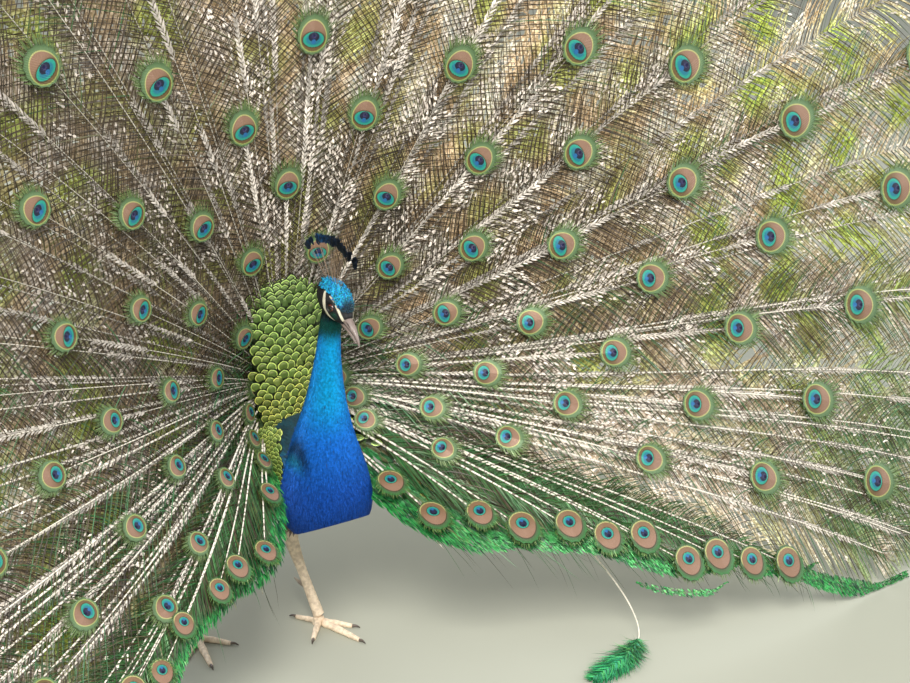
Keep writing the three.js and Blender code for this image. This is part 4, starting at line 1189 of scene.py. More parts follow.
def build_eye_fringes(feathers, kind):
    """The soft green barbs that stand out round each eye, longest beyond its far end."""
    mesh = Mesh()
    count, rows = FRINGE_BARBS, 3
    s = np.linspace(0, 1, rows + 1)
    for tip_angle, full, size in feathers:
        middle, across, along, out = eye_frame(tip_angle, full, kind, 0.0)
        theta = np.linspace(-math.pi, math.pi, count, endpoint=False) + rng.normal(0, 0.03, count)
        far = smoothstep(-0.9, 0.9, np.cos(theta))
        start = rng.uniform(0.85, 1.10, count)
        start_x, start_y = 1.08 * start * np.sin(theta), 1.16 * start * np.cos(theta) + 0.03
        length = size * mix(0.32, 1.15, far) * rng.uniform(0.5, 1.2, count)
        if kind == "rim":
            length = length * 0.5
        heading = (theta * mix(0.55, 0.80, far))[:, None] * (1 - 0.25 * s[None])
        lx, ly = walk(size * start_x, size * start_y, heading[:, 1:], length[:, None] / rows)
        lift = EYE_LIFT[kind] - 1.6 * MM + rng.uniform(-1.5, 0.8, (count, 1)) * MM * (0.3 + s[None])
        centres = middle + across * lx[..., None] + along * ly[..., None] + out * lift[..., None]
        centres[..., 2] = np.maximum(centres[..., 2], EYE_CLEARANCE)
        cross = (across * np.cos(heading[:, :-1])[..., None] - along * np.sin(heading[:, :-1])[..., None]
                 + out * rng.normal(0, 0.3, (count, 1, 1)))
        half = size * 0.034 * np.array([1.2, 1.0, 0.6])
        bright = rng.uniform(0.6, 1.2, (count, 1, 1))
        near = mix(EYE_GREEN, EYE_GREEN_PALE if kind != "rim" else RIM_GREEN, rng.random(count))[:, None]
        tips = near * 0.45 + UNDER_OLIVE * 0.20
        tints = (near + (tips - near) * s[None, :, None]) * bright
        add_ribbons(mesh, centres, unit(cross) * half[None, :, None], tints,
                    fan_place(centres[:, 0, 0], centres[:, 0, 2]))
    return mesh


# ---------------------------------------------------------------- put together: the train

BARB = feather_material("train_barbs", 0.42, metallic=0.25, vary=0.2, scale=60.0, barbs=0.0, specular=0.6)
SHAFT = feather_material("bare_shafts", 0.45, vary=0.12, scale=120.0, barbs=0.0)
ROPE = feather_material("train_rope_barbs", 0.5, vary=0.15, scale=60.0, barbs=0.0, specular=0.4)
UNDER = under_material()
BACK = feather_material("train_eye_backs", 0.7, vary=0.3)

PANELS = [f"train_{number:02d}" for number in range(1, 14)]
make("train_shaft_coat", build_shafts(), shaft_material(), PANELS)
FEATHERS = EYES + TIPS
LOW_FEATHERS = [(angle, reach, 0.0) for angle, reach, _ in RIMS]
for number in range(2):
    barbs = dark_barbs(FEATHERS[number::2], number + 1)
    make(f"train_barbs_{number + 1}", barbs, BARB, PANELS)
make("train_rope_barbs", rope_barbs(FEATHERS, 4), ROPE)
make("train_glint_barbs", glint_barbs(FEATHERS, 12), ROPE)
for number in range(2):
    barbs = under_barbs(FEATHERS[number::2], number + 9)
    make(f"train_under_barbs_{number + 1}", barbs, UNDER)
make("train_barbs_rim", rim_barbs(RIMS, 5), BARB)
make("train_barbs_low", dark_barbs(LOW_FEATHERS, 6), BARB)
make("train_under_low", under_barbs(LOW_FEATHERS, 11), UNDER)
for kind in EYE_KINDS:
    chosen = RIMS if kind == "rim" else [f for f in EYES if eye_kind(f[0]) == kind]
    spots = eye_spot_material(f"train_eyes_{kind}", kind)
    make(f"train_{kind}_eye_discs", build_eyes(chosen, kind, False), spots)
    make(f"train_{kind}_eye_backs", build_eyes(chosen, kind, True), BACK)
    make(f"train_{kind}_eye_fringes", build_eye_fringes(chosen, kind), BARB)


# ---------------------------------------------------------------- the skin

# How far the skin lies inside the solids: under the body's coat, and under the face's short feathers.
COAT_DEPTH = 3.0 * MM
FACE_DEPTH = 0.8 * MM
SKIN_VOXEL = 3.0 * MM
SKIN_SMOOTHING = 8

# Legs, as in the solids, in millimetres: where each foot stands, each hock and each hip.
FEET = {"left": np.array([36, -7, 0.0]), "right": np.array([-147, 55, 0.0])}
HOCKS = {"left": np.array([14, 42, 146.0]), "right": np.array([-88, 84, 146.0])}
HIPS = {"left": np.array([42, 0, 250.0]), "right": np.array([-44, 6, 250.0])}
SIDES = {"left": 1, "right": -1}
ANKLE_HEIGHT = 16
HOCK_RADIUS = 10.5
SHANK_RADIUS = 7.4
ANKLE_RADIUS = 8.8
THIGH_RADII = [44, 27, 11]
# x and y of each toe's tip from its foot, and the radius at its root
TOES = {"middle": (21, -86, 6), "inner": (-36, -43, 5.4), "outer": (36, -41, 5.4), "hind": (-20, 36, 4.8)}
TOE_TIP_RADIUS = 3.4
TOE_ROOT_SHARE = 0.14
TOE_SINK = 0.8
# How far above the floor the soles of the toes and the claws stay.
TOE_CLEARANCE = 0.2 * MM
CLAW_CLEARANCE = 0.15 * MM
CLAW_LENGTH = 13
CLAW_RADII = [2.6, 1.9, 0.7]
SPUR_LENGTH = 28.4
SPUR_RADII = [4.4, 3.6, 0.9]

# Ways round a limb, as angles.
FRONT_OF_LIMB = math.radians(90)
TOP_OF_LIMB = math.radians(-90)

# Colours of the skin's parts.
SKIN_DARK = np.array([0.012, 0.014, 0.018])
SKIN_BLUE = np.array([0.008, 0.050, 0.200])
SKIN_BROWN = np.array([0.060, 0.045, 0.032])
LEG_PALE = np.array([0.98, 0.81, 0.61])


def leg_points(name):
    """Knee, ankle and middle of one leg, in millimetres."""
    foot, hock, hip = FEET[name], HOCKS[name], HIPS[name]
    knee = (hip + hock) / 2 + [0, -6, 4]
    ankle = foot + [0, 0, ANKLE_HEIGHT]
    middle = (hock + ankle) / 2 + [0, 2, 0]
    return knee, ankle, middle


def thigh_path(name):
    """The thigh's points, from the hip to just above the hock."""
    knee = leg_points(name)[0]
    return [HIPS[name], knee, HOCKS[name] + (knee - HOCKS[name]) * 0.16]


def breast_edge(y):
    """How high the breast's sharp lower edge lies: it slopes up towards the front."""
    return 165 * MM - 0.5 * y


def body_skin():
    """One closed skin round trunk, neck, tail root and thighs, all in one piece."""
    raw = Mesh()
    lofts = ((TRUNK_STATIONS, 48, 40), (NECK_STATIONS, 40, 60), (UNDERTAIL_STATIONS, 36, 30))
    for stations, sides, steps in lofts:
        add_loft(raw, stations, sides, steps, -COAT_DEPTH)
    for name in SIDES:
        radii = (np.array(THIGH_RADII) * MM - COAT_DEPTH) * np.array([1.0, 1.0, 1.1])
        add_limb(raw, np.array(thigh_path(name)) * MM, radii, 28, 24)
    data = bpy.data.meshes.new("raw_skin")
    points, faces = np.concatenate(raw.points), np.concatenate(raw.faces)
    data.from_pydata(points.tolist(), [], faces.tolist())
    shape = bpy.data.objects.new("raw_skin", data)
    bpy.context.scene.collection.objects.link(shape)
    remesh = shape.modifiers.new("remesh", "REMESH")
    remesh.mode = "VOXEL"
    remesh.voxel_size = SKIN_VOXEL
    smooth = shape.modifiers.new("smooth", "SMOOTH")
    smooth.iterations = SKIN_SMOOTHING
    made = bpy.data.meshes.new_from_object(shape.evaluated_get(bpy.context.evaluated_depsgraph_get()))
    made.calc_loop_triangles()
    cloud = np.empty(len(made.vertices) * 3, np.float32)
    made.vertices.foreach_get("co", cloud)
    triangles = np.empty(len(made.loop_triangles) * 3, np.int32)
    made.loop_triangles.foreach_get("vertices", triangles)
    bpy.data.objects.remove(shape)
    bpy.data.meshes.remove(data)
    bpy.data.meshes.remove(made)
    cloud = cloud.reshape(-1, 3).astype(float)
    breast = cloud[:, 1] < -60 * MM
    lowest = breast_edge(cloud[:, 1]) + COAT_DEPTH
    cloud[breast, 2] = np.maximum(cloud[breast, 2], lowest[breast])
    return cloud, triangles.reshape(-1, 3)


def body_tint(points):
    """The skin's colour under the coat: blue under the neck, brown elsewhere."""
    blue = smoothstep(-0.020, -0.060, points[:, 1])
    tint = mix(SKIN_BROWN, SKIN_BLUE, blue)
    return mix(tint, SKIN_DARK, smoothstep(0.555, 0.575, points[:, 2]))


def body_places(points):
    """Where the skin's points lie on its bake map: rolled out round an upright axis."""
    turn = np.arctan2(points[:, 0], points[:, 1] + 0.02) / (2 * math.pi) + 0.5
    return np.stack([turn * 0.7, points[:, 2] / 0.62 * 0.95], axis=-1)


def scutes(t, angle, rings, height, front):
    """Raised overlapping plates across the front of a leg or the top of a toe."""
    wave = np.mod(t * rings, 1.0)
    plate = smoothstep(0.0, 0.2, wave) * (1 - 0.5 * wave)
    facing = smoothstep(0.1, 0.7, np.cos(angle - front))
    pebble = 0.35 * np.sin(angle * 9 + np.floor(t * rings) * 2.4) * np.sin(t * rings * 2 * math.pi)
    return height * (plate * facing + pebble * (1 - facing))


def leg_skin(mesh, name):
    """The bare scaly leg, toes and foot of one side."""
    side, foot, hock = SIDES[name], FEET[name], HOCKS[name]
    knee, ankle, middle = leg_points(name)
    path = np.array([hock + (knee - hock) * 0.16, hock + (ankle - hock) * 0.12, middle, ankle]) * MM
    radii = np.array([HOCK_RADIUS, HOCK_RADIUS, SHANK_RADIUS, ANKLE_RADIUS]) * MM
    add_limb(mesh, path, radii, 36, 110, LEG_PALE, lambda t, a: scutes(t, a, 26, 0.5 * MM, FRONT_OF_LIMB))
    pad = np.array([foot + [0, 0, 13], foot + [0, 0, 7], foot + [0, 0, 0.4]]) * MM
    add_limb(mesh, pad, np.array([8.0, 9.4, 10.3]) * MM, 28, 10, LEG_PALE,
             lambda t, a: 0.25 * MM * np.sin(a * 8) * np.sin(t * 12), 0.03)
    for dx, dy, radius in TOES.values():
        tip = foot + [side * dx, dy, TOE_TIP_RADIUS - TOE_SINK]
        root = foot + (tip - foot) * TOE_ROOT_SHARE
        root[2] = radius - TOE_SINK
        half = (root + tip) / 2
        half[2] = radius - 1.5 * TOE_SINK
        path = np.array([root, half, tip]) * MM
        add_toe(mesh, path, np.array([radius, radius - TOE_SINK, TOE_TIP_RADIUS]) * MM)


def add_toe(mesh, path, radii):
    """A scaly toe, with plates along its top and pads under its joints, flattened on the floor."""
    add_limb(mesh, path, radii, 24, 44, LEG_PALE, lambda t, a: toe_shape(t, a, radii[0]))
    toe = mesh.points[-1]
    toe[:, 2] = np.maximum(toe[:, 2], TOE_CLEARANCE)


def toe_shape(t, angle, radius):
    """How far a toe's skin stands out: plates on top, bulging joints below."""
    joints = 0.10 * radius * np.sin(t * 3 * 2 * math.pi) * (1 - t)
    return scutes(t, angle, 13, 0.35 * MM, TOP_OF_LIMB) + joints


# ---------------------------------------------------------------- the head

# The face's markings as y and z in the bird's mid plane: where each line runs, in millimetres.
WHITE_CRESCENT = [(-137, 594), (-138.5, 584), (-140.5, 572), (-144.5, 562), (-151, 554.5)]
CRESCENT_WIDTHS = [2.0, 3.2, 3.4, 3.0, 1.0]
WHITE_BROW = [(-148, 590), (-152.5, 588.2), (-160.5, 583)]
BROW_WIDTHS = [0.6, 1.7, 1.1]
WHITE_STRIPE = [(-161, 579.5), (-166, 572), (-170, 563), (-175, 553)]
STRIPE_WIDTHS = [0.9, 1.6, 1.9, 1.8]
# How far the bare skin of the markings stands out.
BARE_RISE = 0.7 * MM
BARE_WHITE = np.array([0.80, 0.76, 0.60])
FACE_BLACK = np.array([0.010, 0.010, 0.012])
FACE_GREEN = np.array([0.008, 0.055, 0.035])


def line_share(y, z, line, widths):
    """1 on a marking's line and 0 past its half width, with a soft edge."""
    best = np.zeros(y.shape)
    for k in range(len(line) - 1):
        (y0, z0), (y1, z1) = line[k], line[k + 1]
        dy, dz = y1 - y0, z1 - z0
        s = np.clip(((y - y0) * dy + (z - z0) * dz) / (dy * dy + dz * dz), 0, 1)
        far = np.hypot(y - (y0 + s * dy), z - (z0 + s * dz))
        width = widths[k] + (widths[k + 1] - widths[k]) * s
        best = np.maximum(best, 1 - smoothstep(width - 0.35, width + 0.35, far))
    return best


def bare_share(points):
    """Where the face is bare white skin."""
    y, z = points[..., 1] / MM, points[..., 2] / MM
    white = line_share(y, z, WHITE_CRESCENT, CRESCENT_WIDTHS)
    white = np.maximum(white, line_share(y, z, WHITE_BROW, BROW_WIDTHS))
    white = np.maximum(white, line_share(y, z, WHITE_STRIPE, STRIPE_WIDTHS))
    return white * smoothstep(3.5 * MM, 6.5 * MM, np.abs(points[..., 0]))


def face_tint(points):
    """The head's colours: black mask, white lines, a green gleam before the eye."""
    y, z = points[..., 1] / MM, points[..., 2] / MM
    green = 1 - smoothstep(3.0, 8.0, np.hypot(y + 158, z - 563))
    tint = mix(FACE_BLACK, FACE_GREEN, green)
    return mix(tint, BARE_WHITE, bare_share(points))


def head_shape(points, t, angle):
    """Sockets, lids and brows, and the raised bare skin of the markings."""
    for side in (-1, 1):
        off = points - EYE_PLACE * np.array([side, 1, 1])
        far = np.hypot(off[..., 1], off[..., 2]) / EYE_RADIUS
        here = np.sign(points[..., 0]) == side
        lid = np.exp(-((far - 1.12) / 0.20) ** 2) * 1.5 * MM
        socket = np.exp(-(far / 0.80) ** 4) * 6.0 * MM
        points[..., 0] += side * (lid - socket) * here
    points[..., 0] += np.sign(points[..., 0]) * BARE_RISE * bare_share(points)
    return points


def head_skin(mesh):
    """The head's own skin, finer than the rest."""
    start = len(mesh.points)
    add_loft(mesh, HEAD_STATIONS, 150, 110, -FACE_DEPTH, FACE_BLACK, head_shape)
    mesh.tints[start] = face_tint(mesh.points[start])


def skin_material():
    """Skin: its own tint, mottled, with fine pores and a soft shine."""
    material, tree, shader = new_material("skin", roughness=0.48, specular=0.4)
    tint = tint_of(tree)
    blotch = step_node(tree, noise(tree, 140.0, 4.0), 0.35, 0.65)
    dark = multiplied(tree, tint, (0.72, 0.70, 0.68))
    colour = mix_colour(tree, blotch, dark, tint)
    tree.links.new(colour, shader.inputs["Base Color"])
    add_bump(tree, shader, noise(tree, 900.0, 3.0), 0.35, 0.0004)
    return material


def build_skin():
    """The whole skin: body, head and legs in one mesh."""
    mesh = Mesh()
    points, faces = body_skin()
    mesh.add(points, faces, body_tint(points), body_places(points))
    head_skin(mesh)
    for name in SIDES:
        leg_skin(mesh, name)
    for k, part in enumerate(mesh.places[1:], 1):
        column, row = (k - 1) % 5, (k - 1) // 5
        across = 0.72 + part[:, 0] * 0.05 + column * 0.055
        mesh.places[k] = np.stack([across, part[:, 1] * 0.3 + row * 0.32], -1)
    return mesh


FLESH = ["breast", "neck_lower", "neck_upper", "trunk", "head", "undertail", "thigh_left", "thigh_right",
         "shank_left", "shank_right", "foot_left", "foot_right"]
make("skin", build_skin(), skin_material(), FLESH)


# ---------------------------------------------------------------- the coat

# How far a feather's root may lie off its place, as a share of the spacing.
ROOT_JITTER = 0.28


def coat_rows(stations, low, high, spacing, seed):
    """Staggered rows of roots over a loft: t and angle of each. spacing(t) is in metres."""
    gen = np.random.default_rng(seed)
    fine = np.linspace(low, high, 400)
    row = through(stations, fine)
    run = np.hypot(np.diff(row[:, 0]), np.diff(row[:, 1])) * MM
    rank = np.concatenate([[0], np.cumsum(run / spacing((fine[1:] + fine[:-1]) / 2))])
    ts, angles = [], []
    for k in range(int(rank[-1]) + 1):
        t = float(np.interp(k + 0.3, rank, fine))
        width, height = through(stations, t)[2:4] * MM
        count = max(int(2 * math.pi * math.hypot(width, height) / math.sqrt(2) / spacing(t)), 6)
        turn = (np.arange(count) + 0.5 * (k % 2) + gen.uniform(-ROOT_JITTER, ROOT_JITTER, count)) / count
        shift = np.interp(k + 0.3 + gen.uniform(-ROOT_JITTER, ROOT_JITTER, count), rank, fine)
        square = through(stations, t)[4] / 2
        across, up = np.cos(turn * 2 * math.pi), np.sin(turn * 2 * math.pi)
        across, up = (np.sign(part) * np.abs(part) ** square for part in (across, up))
        ts.append(shift)
        angles.append(np.arctan2(up, across))
    return np.concatenate(ts), np.concatenate(angles)


def coat_place(t, angle):
    """A root's place on the bake map: the loft's own surface rolled out."""
    return np.stack([np.mod(angle / (2 * math.pi), 1) * 0.97, t * 0.97], axis=-1)


def coat(mesh, stations, low, high, spacing, length, width, colour, seed, keep=None, depth=COAT_DEPTH,
         towards=-1, spread=0.10, ruffle=0.0, lift=0.2, curl=0.1, rows=3, roundness=0.4, cup=0.2):
    """Covers a loft with small feathers. length, width and spacing are functions of t, in metres;
    colour(points, t, angle, chance) gives their tints; keep(points, t, angle) says which ones grow."""
    gen = np.random.default_rng(seed + 500)
    t, angle = coat_rows(stations, low, high, spacing, seed)
    root, ahead, normal = loft_frame(stations, t, angle, -depth)
    if keep is not None:
        chosen = keep(root, t, angle)
        t, angle, root, ahead, normal = (part[chosen] for part in (t, angle, root, ahead, normal))
    n = len(t)
    sideways = np.cross(ahead, normal) * gen.normal(0, spread, (n, 1))
    way = unit(towards * ahead + sideways + normal * gen.normal(0, ruffle, (n, 1)))
    sizes = gen.uniform(0.85, 1.15, n)
    tint = colour(root, t, angle, gen.random(n))
    add_vanes(mesh, root, way, normal, length(t) * sizes, width(t) * sizes, tint, coat_place(t, angle),
              lift, curl, rows, 3, roundness, cup)


# Neck colours, from the throat down to the breast.
THROAT_GREEN = np.array([0.004, 0.070, 0.060])
NECK_CYAN = np.array([0.006, 0.400, 0.800])
NECK_BLUE = np.array([0.010, 0.170, 0.680])
BREAST_BLUE = np.array([0.008, 0.076, 0.400])
BREAST_VIOLET = np.array([0.008, 0.036, 0.200])
# Black of the nape, also used as painted shade on the neck's far side.
NAPE_BLACK_AND_SHADE = np.array([0.006, 0.008, 0.016])
SHOULDER_TEAL = np.array([0.005, 0.150, 0.230])
SHOULDER_BLUE = np.array([0.008, 0.105, 0.480])
# A painted shadow for the fold between neck and shoulder.
SHOULDER_FOLD_SHADOW = np.array([0.002, 0.014, 0.020])
# The side of the neck turned to the light, where its painted cyan sheen is strongest, as an angle round it.
NECK_GLEAM = math.radians(245)


def neck_tint(points, t, angle, chance):
    """Blue with a painted cyan sheen on the side of the neck turned to the light, green at the throat, deeper
    and more violet on the breast; painted shade darkens its far side to black, and a painted shadow runs
    along the shoulder's fold.
    """
    z = points[:, 2] / MM
    facing = 0.5 + 0.5 * np.cos(angle - NECK_GLEAM)
    tint = mix(BREAST_BLUE, NECK_BLUE, smoothstep(285, 385, z))
    # Painted sheen: cyan on the side that faces the light.
    gleam = smoothstep(365, 445, z) * (0.15 + 0.85 * facing ** 3)
    tint = mix(tint, NECK_CYAN, gleam)
    tint = mix(tint, BREAST_VIOLET, (1 - smoothstep(225, 300, z)) * 0.55)
    green = smoothstep(515, 545, z + chance * 8)
    tint = mix(tint, THROAT_GREEN, green)
    # Painted shade: the side turned from the light darkens to black.
    back = smoothstep(0.55, 0.12, facing)
    tint = mix(tint, NAPE_BLACK_AND_SHADE, back * smoothstep(430, 560, z) * 0.95)
    black = smoothstep(548, 566, z + chance * 6)
    tint = mix(tint, NAPE_BLACK_AND_SHADE, black)
    aside = np.abs(points[:, 0]) / MM - np.interp(z, [330, 400], [46, 41])
    high = smoothstep(318, 345, z) * smoothstep(412, 396, z)
    tint = mix(tint, SHOULDER_TEAL, smoothstep(0, 5, aside) * high)
    # Painted shadow along the fold between neck and shoulder.
    tint = mix(tint, SHOULDER_FOLD_SHADOW, np.exp(-(aside / 3.5) ** 2) * high * 0.85)
    return tint * (0.88 + 0.24 * chance[:, None])


def depth_in(points, stations):
    """How far points lie out from a loft's middle line, where 1 is on its surface."""
    fine = through(stations, np.linspace(0, 1, 160)) * MM
    away = points[:, None, 1:] - fine[None, :, :2]
    near = np.argmin(np.sum(away ** 2, axis=-1), axis=1)
    row, off = fine[near], away[np.arange(len(points)), near]
    along = unit(np.gradient(fine[:, :2], axis=0))[near]
    up = off[:, 0] * along[:, 1] - off[:, 1] * along[:, 0]
    past = np.abs(np.sum(off * along, axis=-1))
    return np.hypot(points[:, 0] / row[:, 2], up / row[:, 3]) + past / (10 * MM)


def outside_trunk(points, t, angle):
    """Neck feathers don't grow where the neck runs into the trunk."""
    return depth_in(points, TRUNK_STATIONS) > 0.96


NECK_FEATHERS = feather_material("neck_feathers", 0.45, metallic=0.45, scale=260.0, barbs=0.6, specular=0.2)
neck = Mesh()
coat(neck, NECK_STATIONS, 0.02, 0.97, by_t((0, 3.4), (0.45, 2.9), (0.8, 2.3), (1, 2.0)),
     by_t((0, 20), (0.1, 15), (0.5, 11), (0.85, 7), (1, 6)),
     by_t((0, 4.2), (0.5, 3.4), (0.85, 2.7), (1, 2.3)), neck_tint, 31, outside_trunk)
for cloud in neck.points:
    cloud[:, 2] = np.maximum(cloud[:, 2], breast_edge(cloud[:, 1]))
make("neck_feathers", neck, NECK_FEATHERS)


# Head feathers: metallic curls on the crown, short black ones on face and nape.
CROWN_CYAN = np.array([0.015, 0.50, 0.66])
CROWN_BLUE = np.array([0.01, 0.16, 0.58])
CROWN_GREEN = np.array([0.005, 0.20, 0.24])


def crown_share(points):
    """Where the head has its metallic crown: above a line from the nape over the eye to the bill."""
    y, z = points[:, 1] / MM, points[:, 2] / MM
    x = np.abs(points[:, 0]) / MM
    edge = np.interp(-y, [110, 122, 138, 152, 164, 172], [612, 598, 595.5, 591, 582, 572]) - 0.25 * (10 - x)
    return smoothstep(-0.5, 0.8, z - edge)


def crown_tint(points, t, angle, chance):
    """Cyan, blue and green curls, darker at the front edge."""
    pick = np.random.default_rng(8).random(len(points))
    tint = mix(CROWN_BLUE, CROWN_CYAN, chance)
    tint = mix(tint, CROWN_GREEN, pick < 0.25)
    dark = smoothstep(-166, -173, points[:, 1] / MM)
    return mix(tint, FACE_BLACK, dark * 0.9) * (0.7 + 0.6 * pick[:, None])


def face_tint_of(points, t, angle, chance):
    """The face's short feathers take the skin's own markings."""
    return face_tint(points) * (0.8 + 0.5 * chance[:, None])


def on_crown(points, t, angle):
    """Where the crown's curls grow."""
    return crown_share(points) > 0.5


def on_face(points, t, angle):
    """Where the face's short feathers grow: not on the crown, the bare skin or the eye."""
    far = np.hypot(points[:, 1] - EYE_PLACE[1], points[:, 2] - EYE_PLACE[2])
    return (crown_share(points) <= 0.5) & (bare_share(points) < 0.3) & (far > EYE_RADIUS * 1.25)


CROWN_FEATHERS = feather_material("crown_feathers", 0.30, metallic=0.55, vary=0.30, scale=500.0, barbs=0.4,
                                  specular=0.7)
FACE_FEATHERS = feather_material("face_feathers", 0.55, metallic=0.10, scale=400.0, barbs=0.3)
crown = Mesh()
coat(crown, HEAD_STATIONS, 0.0, 0.98, constant(1.35), constant(3.4), constant(2.0), crown_tint, 41, on_crown,
     depth=-2.0 * MM, spread=0.9, ruffle=0.35, lift=0.9, curl=0.7, rows=4, roundness=0.45, cup=0.35)
make("crown_feathers", crown, CROWN_FEATHERS)
face = Mesh()
coat(face, HEAD_STATIONS, 0.0, 1.0, constant(1.5), constant(3.6), constant(1.7), face_tint_of, 42, on_face,
     depth=FACE_DEPTH, spread=0.12, ruffle=0.02, lift=0.16)
make("face_feathers", face, FACE_FEATHERS)


# ---------------------------------------------------------------- eyes, bill and crest


def horn_material(name, base, tip):
    """Horn: pale at the root and darker at the tip, with faint streaks along it."""
    material, tree, shader = new_material(name, roughness=0.38, coat=0.15)
    _, _, along, _ = own_place(tree)
    colour = mix_colour(tree, step_node(tree, along, 0.1, 0.95), base, tip)
    streak = step_node(tree, noise(tree, 260.0, 4.0, None, (1.0, 0.35, 0.35)), 0.35, 0.7)
    shaded = mix_colour(tree, times(tree, streak, 0.45), colour, (0.13, 0.10, 0.085))
    tint = tint_of(tree)
    tree.links.new(multiplied(tree, shaded, tint), shader.inputs["Base Color"])
    add_bump(tree, shader, noise(tree, 700.0, 4.0, None, (1.0, 0.4, 0.4)), 0.3, 0.0004)
    return material


BILL_HORN = horn_material("bill_horn", (0.235, 0.185, 0.165), (0.26, 0.20, 0.185))
BILL_LOWER = horn_material("bill_lower_horn", (0.20, 0.155, 0.135), (0.26, 0.20, 0.18))
CLAW_HORN = horn_material("claw_horn", (0.16, 0.125, 0.10), (0.05, 0.038, 0.03))
SPUR_HORN = horn_material("spur_horn", (0.36, 0.29, 0.22), (0.52, 0.46, 0.38))


# Where the nostrils are: along the bill, and up its side.
NOSTRIL = (0.24, 0.30)


def upper_bill_shape(points, t, angle):
    """A ridge along the top, a nostril each side and a thin cutting edge below."""
    up = np.sin(angle)
    points[..., 2] += smoothstep(0.75, 1.0, up) * 0.35 * MM
    across, upward = (t - NOSTRIL[0]) / 0.16, (up - NOSTRIL[1]) / 0.34
    for side in (-1, 1):
        here = np.sign(points[..., 0]) == side
        pit = np.exp(-(across ** 2 + upward ** 2) * 2.2)
        rim = np.exp(-((np.hypot(across, upward) - 1.1) / 0.35) ** 2)
        points[..., 0] += side * here * (rim * 0.35 - pit * 1.5) * MM
    return points


def build_bill(stations, shape=None):
    """One half of the bill, with painted shade inside its nostrils."""
    mesh = Mesh()
    add_loft(mesh, stations, 72, 64, shape=shape)
    if shape is not None:
        u, t = mesh.places[0][:, 0] * 2 * math.pi, mesh.places[0][:, 1]
        across, upward = (t - NOSTRIL[0]) / 0.13, (np.sin(u) - NOSTRIL[1]) / 0.26
        # Painted shade in the nostril pits.
        pit = np.exp(-(across ** 2 + upward ** 2) * 2.0)
        mesh.tints[0] = mix(np.ones(3), np.array([0.12, 0.10, 0.09]), pit)
    return mesh


upper_bill = build_bill(UPPER_BILL_STATIONS, upper_bill_shape)
make("bill_upper_horn", upper_bill, BILL_HORN, ["bill_upper"])
make("bill_lower_horn", build_bill(LOWER_BILL_STATIONS), BILL_LOWER, ["bill_lower"])


def eye_material():
    """A dark red-brown iris round a black pupil, glossy all over."""
    material, tree, shader = new_material("eye_gloss", roughness=0.05, specular=0.8, coat=1.0)
    local, _, far, _ = own_place(tree)
    fibres = noise(tree, 60.0, 3.0, local, (18.0, 0.6, 1.0))
    iris = mix_colour(tree, step_node(tree, fibres, 0.35, 0.65), (0.080, 0.018, 0.012), (0.150, 0.036, 0.024))
    rim = mix_colour(tree, step_node(tree, far, 0.40, 0.52), iris, (0.020, 0.008, 0.006))
    colour = mix_colour(tree, step_node(tree, far, 0.185, 0.205), (0.002, 0.002, 0.002), rim)
    tree.links.new(colour, shader.inputs["Base Color"])
    return material


def build_eye(side):
    """An eyeball whose pupil looks outward and a little forward."""
    mesh = Mesh()
    rings, sides = 40, 48
    far = np.linspace(0.0, 1.0, rings + 1)[:, None]
    turn = np.linspace(0, 2 * math.pi, sides + 1)[None, :]
    look = unit(np.array([side * 1.0, -0.28, 0.02]))
    across = unit(np.cross(look, [0, 0, 1.0]))
    up = np.cross(across, look)
    polar = far * math.pi
    ball = (look * np.cos(polar)[..., None] + across * (np.sin(polar) * np.cos(turn))[..., None]
            + up * (np.sin(polar) * np.sin(turn))[..., None])
    points = EYE_PLACE * np.array([side, 1, 1]) + ball * EYE_RADIUS
    places = ring_places(far, turn)
    mesh.add(points, strip_faces(1, rings + 1, sides + 1), (1, 1, 1), places, flat(places))
    return mesh


EYE_GLOSS = eye_material()
for name, side in SIDES.items():
    make(f"eyeball_{name}", build_eye(side), EYE_GLOSS, [f"eye_{name}"])

# The crest, as in the solids, with more shafts.
CREST_ROOT = np.array([0, -137, 602]) * MM
CREST_SHAFTS = 26
CREST_ANGLES = (math.radians(-44), math.radians(52))
CREST_LENGTH = 70 * MM
CREST_BARBS = 44
CREST_BUFF = np.array([0.24, 0.165, 0.11])
CREST_BLUE = np.array([0.005, 0.030, 0.080])
CREST_BLACK = np.array([0.004, 0.007, 0.012])


